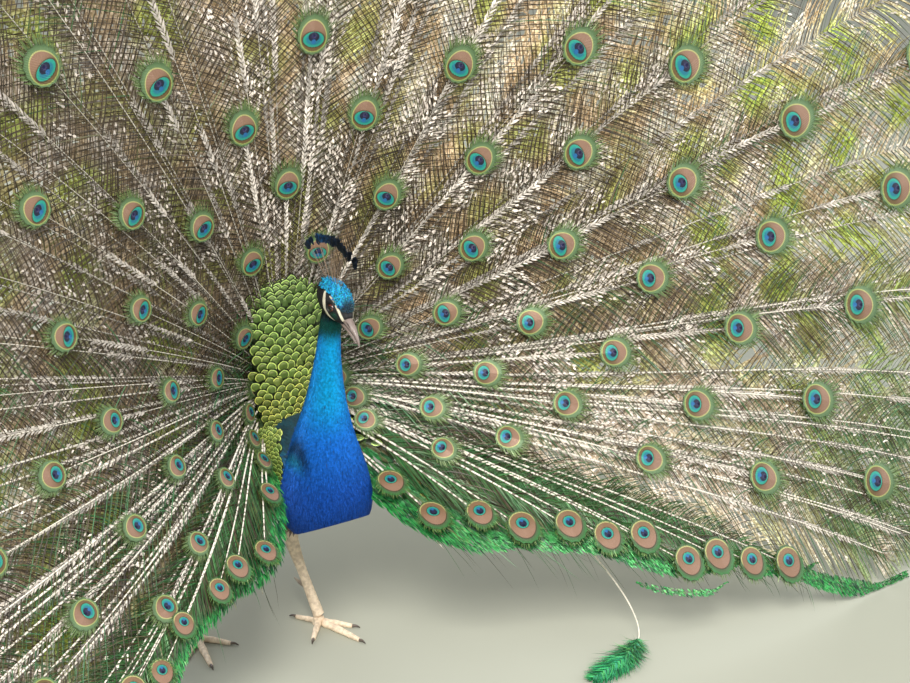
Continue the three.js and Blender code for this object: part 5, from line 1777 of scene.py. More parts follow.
def build_crest():
    """Bare buff shafts in a fan, each with a small blue-green tuft at its end."""
    shafts, tufts = Mesh(), Mesh()
    gen = np.random.default_rng(77)
    for i in range(CREST_SHAFTS):
        share = i / (CREST_SHAFTS - 1)
        angle = CREST_ANGLES[0] + (CREST_ANGLES[1] - CREST_ANGLES[0]) * share + gen.normal(0, 0.012)
        splay = gen.uniform(-0.055, 0.055)
        way = unit(np.array([splay, math.sin(angle), math.cos(angle)]))
        length = CREST_LENGTH * (0.94 + 0.12 * share) * gen.uniform(0.95, 1.02)
        sway = np.array([gen.normal(0, 0.6), gen.normal(0, 0.8), 0]) * MM
        start = CREST_ROOT + np.array([gen.uniform(-4, 4), -13 + 24 * share, -5 + 3 * abs(share - 0.5)]) * MM
        s = np.linspace(0, 1, 9)[:, None]
        line = start + way * length * s + sway * np.sin(s * math.pi)
        add_limb(shafts, line[::2], np.array([0.38, 0.32, 0.27, 0.24, 0.20]) * MM, 5, 10,
                 CREST_BUFF * gen.uniform(0.8, 1.15))
        along = unit(line[-1] - line[-2])
        cross = unit(np.cross(along, [0.25, 0, 0]) + 1e-9)
        begin = gen.uniform(0.885, 1.0, CREST_BARBS)
        roots = start + way * (length * begin)[:, None]
        spin = gen.uniform(0, 2 * math.pi, CREST_BARBS)
        out = cross * np.cos(spin)[:, None] + np.array([1.0, 0, 0]) * (np.sin(spin) * 0.5)[:, None]
        tip_way = unit(along + out * gen.uniform(0.25, 1.3, CREST_BARBS)[:, None])
        reach = gen.uniform(5, 7.5, CREST_BARBS) * MM
        s3 = np.linspace(0, 1, 4)
        centres = roots[:, None] + tip_way[:, None] * (reach[:, None] * s3)[..., None]
        side = unit(np.cross(tip_way, [1.0, 0.2, 0.1]))
        halves = side[:, None] * (np.array([1.1, 1.7, 1.3]) * MM)[None, :, None]
        gleam = np.exp(-((share - 0.72) / 0.16) ** 2)
        blue = np.clip(gen.random(CREST_BARBS) * (0.25 + 2.5 * gleam), 0, 2.2)
        shade = mix(CREST_BLACK, CREST_BLUE, blue)
        tints = np.repeat(shade[:, None], 4, axis=1)
        places = np.stack([0.1 + 0.8 * share + 0 * begin, begin * 0.9], axis=-1)
        add_ribbons(tufts, centres, halves, tints, places)
    return shafts, tufts


crest_shafts, crest_tufts = build_crest()
make("crest_shafts", crest_shafts, SHAFT, ["crest"])
make("crest_tufts", crest_tufts, FACE_FEATHERS, ["crest"])


# ---------------------------------------------------------------- mantle

# y, z, half width, thickness of the mantle, from below upward
MANTLE_STATIONS = [
    [-64, 258, 45, 40],
    [-62, 294, 48, 40],
    [-56, 332, 48, 40],
    [-48, 362, 50, 46],
    [-41, 405, 58, 42],
    [-36, 445, 60, 36],
    [-31, 486, 60, 26],
    [-25, 526, 58, 15],
    [-20, 556, 44, 7],
    [-18, 567, 13, 4],
]
MANTLE_EDGE_SETBACK = 16
# Half the width of the mantle that its rows of scales fill, as a share of its own.
MANTLE_OVERHANG = 1.08


def mantle_point(across, v):
    """A point on the mantle's front; across runs from -1 to 1."""
    row = through(MANTLE_STATIONS, v)
    y = row[..., 0] + MANTLE_EDGE_SETBACK * across ** 2
    return np.stack([across * row[..., 2], y, row[..., 1]], -1) * MM


def mantle_frame(across, v):
    """The mantle's front with its way up and its normal."""
    up = mantle_point(across, v + 0.01) - mantle_point(across, v - 0.01)
    along = mantle_point(across + 0.01, v) - mantle_point(across - 0.01, v)
    return mantle_point(across, v), unit(up), unit(np.cross(along, up))


def scale_material():
    """Mantle scales: a green-gold band round each rounded tip, brightened as a painted highlight, a dark edge
    of painted shadow between the scales, and a duller middle, with painted shade on its lower part and under
    the next row.
    """
    material, tree, shader = new_material("mantle_scales", roughness=0.36, metallic=0.35, specular=0.6)
    _, x, y, chance = own_place(tree)
    slant = times(tree, math_node(tree, "ABSOLUTE", x), 0.25)
    lines = wave_node(tree, minus(tree, y, slant), 75.0)
    wavy = plus(tree, y, times(tree, lines, 0.004))
    far = ellipse(tree, x, wavy, (0.0, 0.56), 0.98, 0.44)
    tint = tint_of(tree)
    middle = mix_colour(tree, step_node(tree, chance, 0.25, 0.8), (0.24, 0.34, 0.19), (0.46, 0.36, 0.25))
    bright = multiplied(tree, tint, (1.6, 1.5, 1.2))
    middle = mix_colour(tree, 0.55, middle, bright)
    # Painted shade: the middle is darker lower down, towards where it goes under the next row.
    lower = multiplied(tree, tint, (0.46, 0.52, 0.36))
    middle = mix_colour(tree, step_node(tree, y, 0.60, 0.86), lower, middle)
    # Painted highlight: the band is brighter than the feather's own green-gold.
    band = multiplied(tree, tint, (2.6, 2.4, 2.0))
    inner = multiplied(tree, tint, (0.40, 0.50, 0.34))
    colour = mix_colour(tree, step_node(tree, far, 0.50, 0.64), middle, inner)
    colour = mix_colour(tree, step_node(tree, far, 0.62, 0.76), colour, band)
    # Painted shadow in the gaps between scales.
    colour = mix_colour(tree, step_node(tree, far, 0.83, 0.90), colour, (0.008, 0.016, 0.005))
    # Painted shade on the part that lies under the next row.
    under = step_node(tree, y, 0.42, 0.28)
    colour = mix_colour(tree, under, colour, (0.02, 0.03, 0.012))
    tree.links.new(colour, shader.inputs["Base Color"])
    add_bump(tree, shader, lines, 0.3, 0.0003)
    return material


MANTLE_GREEN = np.array([0.240, 0.370, 0.110])
MANTLE_GOLD = np.array([0.440, 0.460, 0.115])
MANTLE_MOSS = np.array([0.155, 0.235, 0.095])


def mantle_size(z):
    """How large the mantle's feathers are at a height, from 0 low down to 1 on the upper back."""
    return smoothstep(300, 450, z)


def build_mantle():
    """Overlapping scale feathers, tips up, larger above."""
    mesh = Mesh()
    gen = np.random.default_rng(63)
    v, across, rows, number = 0.0, [], [], 0
    climb = np.hypot(*np.diff(np.array(MANTLE_STATIONS, float)[:, :2], axis=0).T).sum()
    while v < 0.955:
        row = through(MANTLE_STATIONS, v)
        size = mantle_size(row[1])
        width = 7.5 + 6.0 * size
        count = max(int(round(2 * row[2] * 1.06 / width)), 2)
        at = (np.arange(count + number % 2) - (count + number % 2 - 1) / 2) * width / row[2]
        across.append(np.clip(at, -MANTLE_OVERHANG, MANTLE_OVERHANG) + gen.normal(0, 0.016, len(at)))
        rows.append(np.full(len(at), v) + gen.normal(0, 0.0055, len(at)))
        v += (4.4 + 3.4 * size) / climb
        number += 1
    across, v = np.concatenate(across), np.concatenate(rows)
    root, up, normal = mantle_frame(across, v)
    n = len(v)
    size = mantle_size(root[:, 2] / MM)
    width = (11.0 + 8.5 * size) * MM * gen.uniform(0.93, 1.07, n)
    length = (15 + 10.0 * size) * MM * gen.uniform(0.95, 1.05, n)
    away = np.stack([np.sign(across) * np.abs(across) ** 1.5 * 0.30, np.zeros(n), np.zeros(n)], -1)
    way = unit(up + away + gen.normal(0, 0.05, (n, 3)))
    normal = unit(normal - way * np.sum(normal * way, axis=-1, keepdims=True))
    z = root[:, 2] / MM
    tint = mix(MANTLE_GREEN, MANTLE_GOLD, (1 - mantle_size(z - 60)) * gen.uniform(0.3, 1.0, n))
    tint = mix(tint, MANTLE_MOSS, smoothstep(430, 560, z) * gen.uniform(0.2, 0.8, n))
    tint = tint * gen.uniform(0.75, 1.25, (n, 1))
    places = np.stack([0.05 + (across + 1.1) / 2.2 * 0.9, v * 0.95], -1)
    add_vanes(mesh, root - normal * 2 * MM, way, normal, length, width, tint, places, lift=0.24, rows=7,
              columns=7, roundness=0.55, cup=0.16, start_width=0.85)
    mantle_flanks(mesh, gen)
    return mesh


def mantle_flanks(mesh, gen):
    """The mantle's narrow lower ends, which run down the sides of the trunk beside the shoulders."""
    y, z = np.meshgrid(np.arange(-76, -22, 7.2), np.arange(262, 356, 5.6))
    y = y + 3.6 * (np.arange(len(y)) % 2)[:, None]
    y, z = y.ravel() + gen.normal(0, 0.5, y.size), z.ravel() + gen.normal(0, 0.4, y.size)
    keep = y > -74 + 0.42 * np.maximum(z - 312, 0)
    y, z = y[keep], z[keep]
    stations = np.array(TRUNK_STATIONS, float)
    middle, half, tall = (np.interp(y, stations[:, 0], stations[:, k]) for k in (1, 2, 3))
    off = (z - middle) / tall
    x = half * np.sqrt(np.clip(1 - off ** 2, 0.02, 1))
    for side in (-1, 1):
        root = np.stack([side * x, y, z], -1) * MM
        normal = unit(np.stack([side * x / half ** 2, -0.010 + 0 * x, off / tall], -1))
        up = np.array([0.0, -0.12, 1.0]) + gen.normal(0, 0.08, (len(x), 3))
        way = unit(up - normal * np.sum(up * normal, axis=-1, keepdims=True))
        tint = mix(MANTLE_GREEN, MANTLE_GOLD, gen.uniform(0.0, 0.5, len(x)))
        tint = tint * gen.uniform(0.8, 1.3, (len(x), 1))
        width, length = (np.full(len(x), size * MM) for size in (11.0, 15.5))
        places = np.stack([0.05 + (y + 80) / 700, z / 700 + 0.5 * (side > 0)], -1)
        add_vanes(mesh, root + normal * 0.5 * MM, way, normal, length, width, tint, places, lift=0.26, rows=6,
                  columns=5, roundness=0.55, cup=0.16, start_width=0.85)


MANTLE_SCALES = scale_material()
make("mantle_scales", build_mantle(), MANTLE_SCALES, ["mantle"])


# ---------------------------------------------------------------- trunk, tail root and thighs

TRUNK_DARK = np.array([0.030, 0.026, 0.020])
TRUNK_BROWN = np.array([0.085, 0.062, 0.042])
RUMP_GREEN = np.array([0.045, 0.105, 0.030])
DOWN_GREY = np.array([0.26, 0.20, 0.15])
DOWN_DARK = np.array([0.13, 0.10, 0.075])


def trunk_tint(points, t, angle, chance):
    """Teal shoulders with a painted shadow in the fold beside the neck and over their tops, green-bronze
    back, dark brown flanks and belly.
    """
    z = points[:, 2] / MM
    up = smoothstep(0.0, 0.8, np.sin(angle))
    tint = mix(TRUNK_DARK, TRUNK_BROWN, chance)
    tint = mix(tint, RUMP_GREEN, smoothstep(300, 370, z) * 0.8) * (0.8 + 0.4 * up[:, None])
    shoulder = mix(SHOULDER_BLUE, SHOULDER_TEAL, smoothstep(290, 350, z + 12 * chance))
    # Painted shadow in the fold beside the neck and over the shoulder's top.
    fold = (1 - smoothstep(1.0, 1.12, depth_in(points, NECK_STATIONS))) * smoothstep(315, 335, z)
    fold = np.maximum(fold, smoothstep(320, 345, z))
    shoulder = mix(shoulder, SHOULDER_FOLD_SHADOW, fold * 0.8) * (0.65 + 0.3 * chance[:, None])
    past_edge = points[:, 1] / MM - np.interp(z, [270, 340], [-50, -30])
    front = smoothstep(6, -6, past_edge - 4 * chance)
    return mix(tint, shoulder, front * smoothstep(225, 250, z))


def outside_neck(points, t, angle):
    """Trunk feathers don't grow where the breast covers it."""
    return depth_in(points, NECK_STATIONS) > 0.96


TRUNK_FEATHERS = feather_material("trunk_feathers", 0.6, metallic=0.05, vary=0.3, scale=150.0, barbs=0.5)
DOWN_FEATHERS = feather_material("down_feathers", 0.85, sheen=0.4, scale=120.0, barbs=0.4)
trunk = Mesh()
coat(trunk, TRUNK_STATIONS, 0.03, 1.0, by_t((0, 3.6), (0.35, 4.0), (0.5, 5.5)),
     by_t((0, 13), (0.35, 14), (0.6, 20)), by_t((0, 5), (0.35, 5.5), (0.6, 9)), trunk_tint, 51, outside_neck,
     towards=1, spread=0.12, ruffle=0.03, lift=0.16, curl=0.05, rows=4, roundness=0.45)
make("trunk_feathers", trunk, TRUNK_FEATHERS)


def down_tint(points, t, angle, chance):
    """Grey down, darker or paler by chance."""
    return mix(DOWN_DARK, DOWN_GREY, chance)


undertail = Mesh()
coat(undertail, UNDERTAIL_STATIONS, 0.0, 1.0, constant(4.0), constant(20), constant(4.0), down_tint, 52,
     towards=1, spread=0.35, ruffle=0.18, lift=0.25, rows=4, roundness=0.2)
make("undertail_down", undertail, DOWN_FEATHERS)


def limb_coat(mesh, path, radii, spacing, length, width, seed):
    """Covers a limb with down that points along it; sizes in metres."""
    gen = np.random.default_rng(seed)
    steps = 120
    t, centre, radius, along, side, other = limb_path(path, radii, steps)
    run = np.concatenate([[0], np.cumsum(np.linalg.norm(np.diff(centre, axis=0), axis=1))])
    for k in range(int(run[-1] / spacing)):
        i = min(int(np.searchsorted(run, (k + 0.5) * spacing)), steps)
        count = max(int(2 * math.pi * radius[i] / spacing), 6)
        angle = (np.arange(count) + 0.5 * (k % 2) + gen.uniform(-0.3, 0.3, count)) / count * 2 * math.pi
        normal = side[i] * np.cos(angle)[:, None] + other[i] * np.sin(angle)[:, None]
        root = centre[i] + normal * (radius[i] - COAT_DEPTH)
        root = root + along[i] * gen.uniform(-0.4, 0.4, (count, 1)) * spacing
        around = np.cross(along[i], normal) * gen.normal(0, 0.2, (count, 1))
        way = unit(along[i] + around + normal * gen.normal(0, 0.12, (count, 1)))
        shade = mix(DOWN_DARK, DOWN_GREY, gen.random(count))
        places = np.stack([np.mod(angle / (2 * math.pi), 1) * 0.97, np.full(count, t[i] * 0.97)], -1)
        size = gen.uniform(0.8, 1.2, count)
        add_vanes(mesh, root, way, normal, length * size, width * size, shade, places, curl=0.12,
                  roundness=0.35)


thighs = Mesh()
for name in SIDES:
    path, radii = np.array(thigh_path(name)) * MM, np.array(THIGH_RADII) * MM
    limb_coat(thighs, path, radii, 3.6 * MM, 15 * MM, 4.2 * MM, 55 + SIDES[name])
make("thigh_down", thighs, DOWN_FEATHERS)


# ---------------------------------------------------------------- rump: the feathers at the train's root

TRAIN_BASE_OUTER = 0.150


def rump_frame(angle, reach, front):
    """A point on the train's thick root, seen from its front or its back, and the ways there."""
    x, z = reach * np.sin(angle), TRAIN_ROOT[2] + reach * np.cos(angle)
    thick = 5 + 31 * np.clip(1 - (reach / TRAIN_BASE_OUTER) ** 2, 0, 1)
    lift = (thick / 2 - 3) * MM * (1 if front else -1)
    point = fan_lift(x, z, lift)
    ahead = fan_lift(x + 0.004 * np.sin(angle), z + 0.004 * np.cos(angle), lift)
    aside = fan_lift(x + 0.004 * np.cos(angle), z - 0.004 * np.sin(angle), lift)
    way = unit(ahead - point)
    normal = unit(np.cross(aside - point, way))
    return point, way, normal * (-1 if front else 1) * np.sign(normal[:, 1:2])


def build_rump(front, seed):
    """Rows of rounded feathers over the train's root, growing outward."""
    mesh = Mesh()
    gen = np.random.default_rng(seed)
    spacing = 8.5 * MM
    angles, reaches = [], []
    for k, reach in enumerate(np.arange(0.022, TRAIN_BASE_OUTER + 0.012, spacing)):
        count = max(int(2 * TRAIN_RIM_ANGLE * reach / (spacing * 1.15)), 5)
        at = (np.arange(count) + 0.5 + 0.5 * (k % 2) + gen.uniform(-0.15, 0.15, count)) / (count + 1)
        angles.append((2 * at - 1) * TRAIN_RIM_ANGLE)
        reaches.append(np.full(count, reach) + gen.uniform(-1, 1, count) * MM)
    angle, reach = np.concatenate(angles), np.concatenate(reaches)
    root, way, normal = rump_frame(angle, reach, front)
    n = len(angle)
    size = gen.uniform(0.9, 1.15, n)
    if front:
        tint = mix(MANTLE_MOSS, MANTLE_GREEN, gen.random(n)) * gen.uniform(0.7, 1.2, (n, 1))
    else:
        tint = mix(DOWN_DARK, DOWN_GREY, gen.random(n) * 0.8)
    places = fan_place(root[:, 0], root[:, 2])
    add_vanes(mesh, root, way, normal, 24 * MM * size, 13 * MM * size, tint, places, lift=0.15, curl=0.05,
              rows=6, columns=5, cup=0.15, start_width=0.7)
    return mesh


make("rump_scales", build_rump(True, 64), MANTLE_SCALES, ["train_base"])
make("rump_back", build_rump(False, 65), DOWN_FEATHERS, ["train_base"])


# ---------------------------------------------------------------- tail and wings

# The true tail: its root, half its spread, where its feathers start and end, and how it leans forward.
TAIL_ROOT = np.array([0, 176, 348]) * MM
TAIL_HALF_SPREAD = math.radians(58)
TAIL_INNER = 0.022
TAIL_LENGTH = 0.420
TAIL_LEAN = 0.118
TAIL_LEAN_LENGTH = 0.170
TAIL_SIDE_SHORTENING = 0.14
TAIL_FEATHERS = 20
TAIL_BROWN = np.array([0.115, 0.085, 0.062])
# The left wing, let down: its shoulder, its tip, half its width and how far its face bulges.
WING_SHOULDER = np.array([90, 22, 334]) * MM
WING_TIP = np.array([116, 262, 196]) * MM
WING_HALF_WIDTH = 60 * MM
WING_CAMBER = 13 * MM
# The left flight feathers: how many, and their roots, ways and lengths at the two ends of their row.
PRIMARY_COUNT = 8
PRIMARY_ROOTS = np.array([[101, 60, 244], [121, 170, 210]]) * MM
PRIMARY_WAYS = np.array([[0.12, 0.22, -0.92], [0.24, 0.64, -0.92]])
PRIMARY_LENGTHS = np.array([0.140, 0.166])
CHESTNUT = np.array([0.30, 0.135, 0.055])
WING_BUFF = np.array([0.40, 0.31, 0.20])


def quill_material(name, bars):
    """A large stiff feather: pale shaft, slanting barb lines, barred where asked."""
    material, tree, shader = new_material(name, roughness=0.55, sheen=0.1, specular=0.4)
    _, across, along, _ = own_place(tree)
    x = math_node(tree, "ABSOLUTE", across)
    slant = minus(tree, along, times(tree, x, 0.12))
    lines = wave_node(tree, slant, 260.0)
    tint = tint_of(tree)
    mottle = step_node(tree, noise(tree, 150.0, 4.0), 0.3, 0.7)
    colour = mix_colour(tree, mottle, multiplied(tree, tint, (0.68,) * 3), tint)
    if bars:
        wobble = times(tree, noise(tree, 90.0, 2.0), 2.2)
        wave = math_node(tree, "SINE", plus(tree, times(tree, slant, bars), wobble))
        colour = mix_colour(tree, step_node(tree, wave, -0.15, 0.35), colour, (0.025, 0.022, 0.018))
    line_shade = times(tree, step_node(tree, lines, 0.2, 1.0), 0.22)
    colour = mix_colour(tree, line_shade, colour, (0.02, 0.016, 0.012))
    shaft = step_node(tree, x, 0.10, 0.05)
    colour = mix_colour(tree, shaft, colour, (0.34, 0.27, 0.19))
    tree.links.new(colour, shader.inputs["Base Color"])
    add_bump(tree, shader, lines, 0.4, 0.0003)
    return material


def sheet_feather(mesh, surface, rows, columns, tint, place):
    """One large feather laid on surface(along, across), with along 0 to 1 and across -1 to 1."""
    along, across = np.meshgrid(np.linspace(0, 1, rows), np.linspace(-1, 1, columns), indexing="ij")
    points = surface(along, across)
    local = np.stack([across, along, np.full(across.shape, 0.5)], axis=-1)
    patch = np.stack([(across + 1) / 2, along], axis=-1) * np.array([0.04, 0.9])
    mesh.add(points, strip_faces(1, rows, columns), tint, place + patch, local)


def tail_point(angle, reach, lift):
    """A point on the true tail, lifted towards its front."""
    y = TAIL_ROOT[1] - TAIL_LEAN * (1 - np.exp(-reach / TAIL_LEAN_LENGTH)) - lift
    return np.stack([reach * np.sin(angle), y + 0 * angle, TAIL_ROOT[2] + reach * np.cos(angle)], axis=-1)


def build_tail():
    """Twenty stiff grey-brown feathers in a fan behind the train."""
    mesh = Mesh()
    gen = np.random.default_rng(91)
    for k in range(TAIL_FEATHERS):
        share = (k + 0.5) / TAIL_FEATHERS * 2 - 1
        centre = TAIL_HALF_SPREAD * share
        length = TAIL_LENGTH * (1 - TAIL_SIDE_SHORTENING * share ** 2)

        def surface(along, across, centre=centre, length=length, k=k):
            """A tail feather's points: a long strip with a rounded end."""
            reach = TAIL_INNER + (length - TAIL_INNER) * along
            round_end = np.sqrt(np.clip(1 - np.clip((along - 0.90) / 0.10, 0, 1) ** 2, 0.02, 1))
            half = (0.010 + 0.014 * smoothstep(0, 0.6, along)) * round_end
            turn = centre + across * half / reach
            return tail_point(turn, reach, (0.8 * (k % 2) - 0.4 + 0.6 * np.sign(share) * across) * MM)

        tint = TAIL_BROWN * gen.uniform(0.85, 1.2)
        sheet_feather(mesh, surface, 30, 7, tint, np.array([0.01 + 0.048 * k, 0.03]))
    return mesh


make("tail_feathers", build_tail(), quill_material("tail_quills", 0.0), ["tail"])


def wing_point(side, u, v, out):
    """A point on a let-down wing: u runs from shoulder to tip and v from its upper to its lower edge."""
    along = WING_TIP - WING_SHOULDER
    down = unit(np.array([0, along[2], -along[1]]))
    outline = np.clip(1 - u ** 2.4, 0, 1) ** 0.6 * (0.72 + 0.28 * np.sin(math.pi * u))
    half = WING_HALF_WIDTH * outline + 2 * MM
    point = WING_SHOULDER + along * u[..., None] + down * (v * half)[..., None]
    point[..., 0] += WING_CAMBER * (1 - v ** 2) * (1 - 0.6 * u) + out
    point[..., 0] *= side
    return point


def build_wing(side):
    """Rows of barred coverts over both faces of a wing, on a thin core."""
    mesh = Mesh()
    gen = np.random.default_rng(95 + side)
    core_u, core_v = np.meshgrid(np.linspace(0, 1, 30), np.linspace(-1, 1, 20), indexing="ij")
    for out in (2.0 * MM, -1.5 * MM):
        points = wing_point(side, core_u, core_v * 0.94, out)
        places = np.stack([core_u * 0.9, (core_v + 1) / 2 * 0.9], -1)
        mesh.add(points, strip_faces(1, 30, 20), WING_BUFF * 0.5, places)
    for face in (1, -1):
        us, vs = [], []
        for k, u in enumerate(np.arange(0.0, 0.93, 0.045)):
            count = 9
            us.append(np.full(count, u) + gen.normal(0, 0.004, count))
            vs.append(((np.arange(count) + 0.5 * (k % 2) + 0.25) / count * 2 - 1) * 0.97)
        u, v = np.concatenate(us), np.concatenate(vs)
        root = wing_point(side, u, v, face * 2.5 * MM)
        ahead = unit(wing_point(side, u + 0.01, v, face * 2.5 * MM) - root)
        down = unit(wing_point(side, u, v + 0.01, face * 2.5 * MM) - root)
        normal = unit(np.cross(ahead, down))
        normal = normal * (np.sign(normal[:, :1]) * side * face)
        way = unit(ahead + down * (0.25 + 0.35 * v)[:, None])
        n = len(u)
        tint = WING_BUFF * gen.uniform(0.8, 1.15, (n, 1))
        places = np.stack([0.02 + u * 0.9, (v + 1) / 2 * 0.45 + (0.5 if face < 0 else 0)], -1)
        size = gen.uniform(0.9, 1.1, n)
        add_vanes(mesh, root, way, normal, 32 * MM * size, 17 * MM * size, tint, places, lift=0.10, curl=0.05,
                  rows=7, columns=7, roundness=0.6, cup=0.10, start_width=0.7)
    return mesh


def build_primaries(side):
    """Chestnut flight feathers that hang below the wing."""
    mesh = Mesh()
    gen = np.random.default_rng(99 + side)
    for k in range(PRIMARY_COUNT):
        share = (k + 0.5) / PRIMARY_COUNT
        root = PRIMARY_ROOTS[0] + (PRIMARY_ROOTS[1] - PRIMARY_ROOTS[0]) * share
        way = unit(PRIMARY_WAYS[0] + (PRIMARY_WAYS[1] - PRIMARY_WAYS[0]) * share)
        length = PRIMARY_LENGTHS[0] + (PRIMARY_LENGTHS[1] - PRIMARY_LENGTHS[0]) * share
        broad = unit(PRIMARY_ROOTS[1] - PRIMARY_ROOTS[0])
        normal = unit(np.cross(way, broad))

        def surface(along, across, root=root, way=way, length=length, broad=broad, normal=normal, k=k):
            """A flight feather's points: a strip that widens towards its rounded end."""
            tip = np.sqrt(np.clip(1 - np.clip((along - 0.80) / 0.20, 0, 1) ** 2, 0.01, 1))
            half = (8 + 3.5 * along) * MM * tip
            point = root + way * (length * along)[..., None] + broad * (across * half)[..., None]
            point = point + normal * ((across * 0.8 - 0.5 * across ** 2 + 0.3 * (k % 2)) * MM)[..., None]
            return point * np.array([side, 1, 1])

        tint = CHESTNUT * gen.uniform(0.85, 1.15)
        sheet_feather(mesh, surface, 24, 9, tint, np.array([0.02 + 0.11 * k, 0.03]))
    return mesh


WING_BARS = quill_material("wing_bars", 19.0)
FLIGHT_QUILLS = quill_material("flight_quills", 0.0)
for name, side in SIDES.items():
    make(f"wing_coverts_{name}", build_wing(side), WING_BARS, [f"wing_{name}"])
    quills = build_primaries(side)
    make(f"flight_feathers_{name}", quills, FLIGHT_QUILLS, [f"primaries_{name}"])


# ---------------------------------------------------------------- spurs and claws

for name, side in SIDES.items():
    foot = FEET[name]
    _, ankle, middle = leg_points(name)
    spur_root = middle + (ankle - middle) * 0.34
    spur_way = unit(np.array([-side * 0.42, 0.82, 0.38]))
    spur_tip = spur_root + spur_way * SPUR_LENGTH
    spur_half = spur_root + (spur_tip - spur_root) * 0.55 + [0, 0, -1.5]
    spur = Mesh()
    add_limb(spur, np.array([spur_root, spur_half, spur_tip]) * MM, np.array(SPUR_RADII) * MM, 28, 24)
    make(f"spur_horn_{name}", spur, SPUR_HORN, [f"spur_{name}"])
    for toe, (dx, dy, _) in TOES.items():
        tip = foot + [side * dx, dy, TOE_TIP_RADIUS - TOE_SINK]
        way = unit((tip - foot) * [1, 1, 0])
        path = np.array([tip - way, tip + way * CLAW_LENGTH * 0.5, tip + way * CLAW_LENGTH])
        path[:, 2] = TOE_TIP_RADIUS - 0.6, TOE_TIP_RADIUS + 0.4, 1.4
        claw = Mesh()
        add_limb(claw, path * MM, np.array(CLAW_RADII) * MM, 20, 18)
        claw.points[0][:, 2] = np.maximum(claw.points[0][:, 2], CLAW_CLEARANCE)
        make(f"claw_horn_{name}_{toe}", claw, CLAW_HORN, [f"claw_{name}_{toe}"])


# ---------------------------------------------------------------- the rims of the train

SWORD_BRIGHT = np.array([0.045, 0.400, 0.085])
SWORD_GREEN = np.array([0.016, 0.200, 0.045])
SWORD_DARK = np.array([0.004, 0.040, 0.022])
SWORD_PALE = np.array([0.140, 0.300, 0.090])
SWORD_TEAL = np.array([0.030, 0.360, 0.220])
# The sword feathers of a rim: reach of root and tip, how far below the rim the blade hangs at its
# middle, and how wide it is, in metres.
SWORDS = [
    (0.07, 0.29, 0.008, 0.034),
    (0.21, 0.45, 0.006, 0.030),
    (0.33, 0.64, 0.007, 0.036),
    (0.43, 0.59, 0.054, 0.011),
    (0.57, 0.77, 0.003, 0.022),
    (0.70, 0.975, 0.004, 0.031),
]
SWORD_BARB_GAP = 0.20 * MM
# How much further out the bird's left rim hangs, near the body.
LEFT_RIM_DROP = 14 * MM
HANGING_BARBS = 120
HANGING_CLEARANCE = 4 * MM


def rim_place(side, reach, drop):
    """A place in the fan's plane just outside a rim."""
    left = LEFT_RIM_DROP * (1 - smoothstep(0.45, 0.60, reach))
    drop = drop + np.where(side > 0, left, rim_shift(side, reach) * RIM_FOLLOWING)
    angle = side * (TRAIN_RIM_ANGLE + rim_drop(reach) + drop / reach)
    return reach * np.sin(angle), TRAIN_ROOT[2] + reach * np.cos(angle)


def build_swords(side):
    """Narrow curved emerald feathers that overlap along a rim, with dense short barbs."""
    mesh = Mesh()
    gen = np.random.default_rng(120 + side)
    for start, end, drop, width in SWORDS:
        count = int((end - start) / SWORD_BARB_GAP * width / 0.03)
        share = gen.random(count)
        reach = start + (end - start) * share
        blade = np.sin(np.clip(share * 1.06, 0, 1) * math.pi) ** 0.4
        depth = gen.random(count)
        curve = drop + 0.004 * np.sin(share * math.pi) - 0.012 * smoothstep(0.8, 1.0, share)
        sag = curve + (width * 0.72 * depth - 0.004) * blade
        x, z = rim_place(side, reach, sag)
        ahead_x, ahead_z = rim_place(side, reach + 0.004, sag)
        way = np.arctan2(ahead_x - x, ahead_z - z)
        slant = side * np.radians(mix(58, 15, smoothstep(0.75, 1.0, share)) + gen.normal(0, 9, count))
        length = np.minimum(width * 0.45, 0.011) * gen.uniform(0.6, 1.15, count) * (0.4 + 0.6 * blade)
        rows = 2
        s = np.linspace(0, 1, rows + 1)
        heading = (way + slant)[:, None] - side * np.radians(30) * s[None, :-1]
        px, pz = walk(x, z, heading, (length / rows)[:, None])
        floor_gap = gen.uniform(2, 12, (count, 1)) * MM
        pz = np.where(pz < floor_gap, floor_gap + 0.05 * (pz - floor_gap), pz)
        lift = (6.5 - 4.5 * depth + gen.uniform(-0.8, 0.8, count))[:, None] * MM + 1.6 * MM * s[None]
        centres = fan_lift(px, pz, lift)
        half = np.array([0.9, 1.0]) * MM
        halves = across_fan(heading, gen.normal(0, 0.4, (count, 1))) * half[None, :, None]
        halves = halves * gen.uniform(0.7, 1.3, (count, 1, 1))
        shade = mix(SWORD_GREEN, SWORD_BRIGHT, gen.random(count))
        shade = mix(shade, SWORD_PALE, (gen.random(count) < 0.5 * (1 - depth)) * gen.uniform(0.2, 0.9, count))
        shade = mix(shade, SWORD_DARK, (gen.random(count) < 0.35) * gen.uniform(0.5, 1.0, count))
        tints = np.repeat(shade[:, None], rows + 1, axis=1)
        tints[:, 0] = tints[:, 0] * 0.4
        add_ribbons(mesh, centres, halves, tints, fan_place(x, z))
    hanging_barbs(mesh, side, gen)
    return mesh


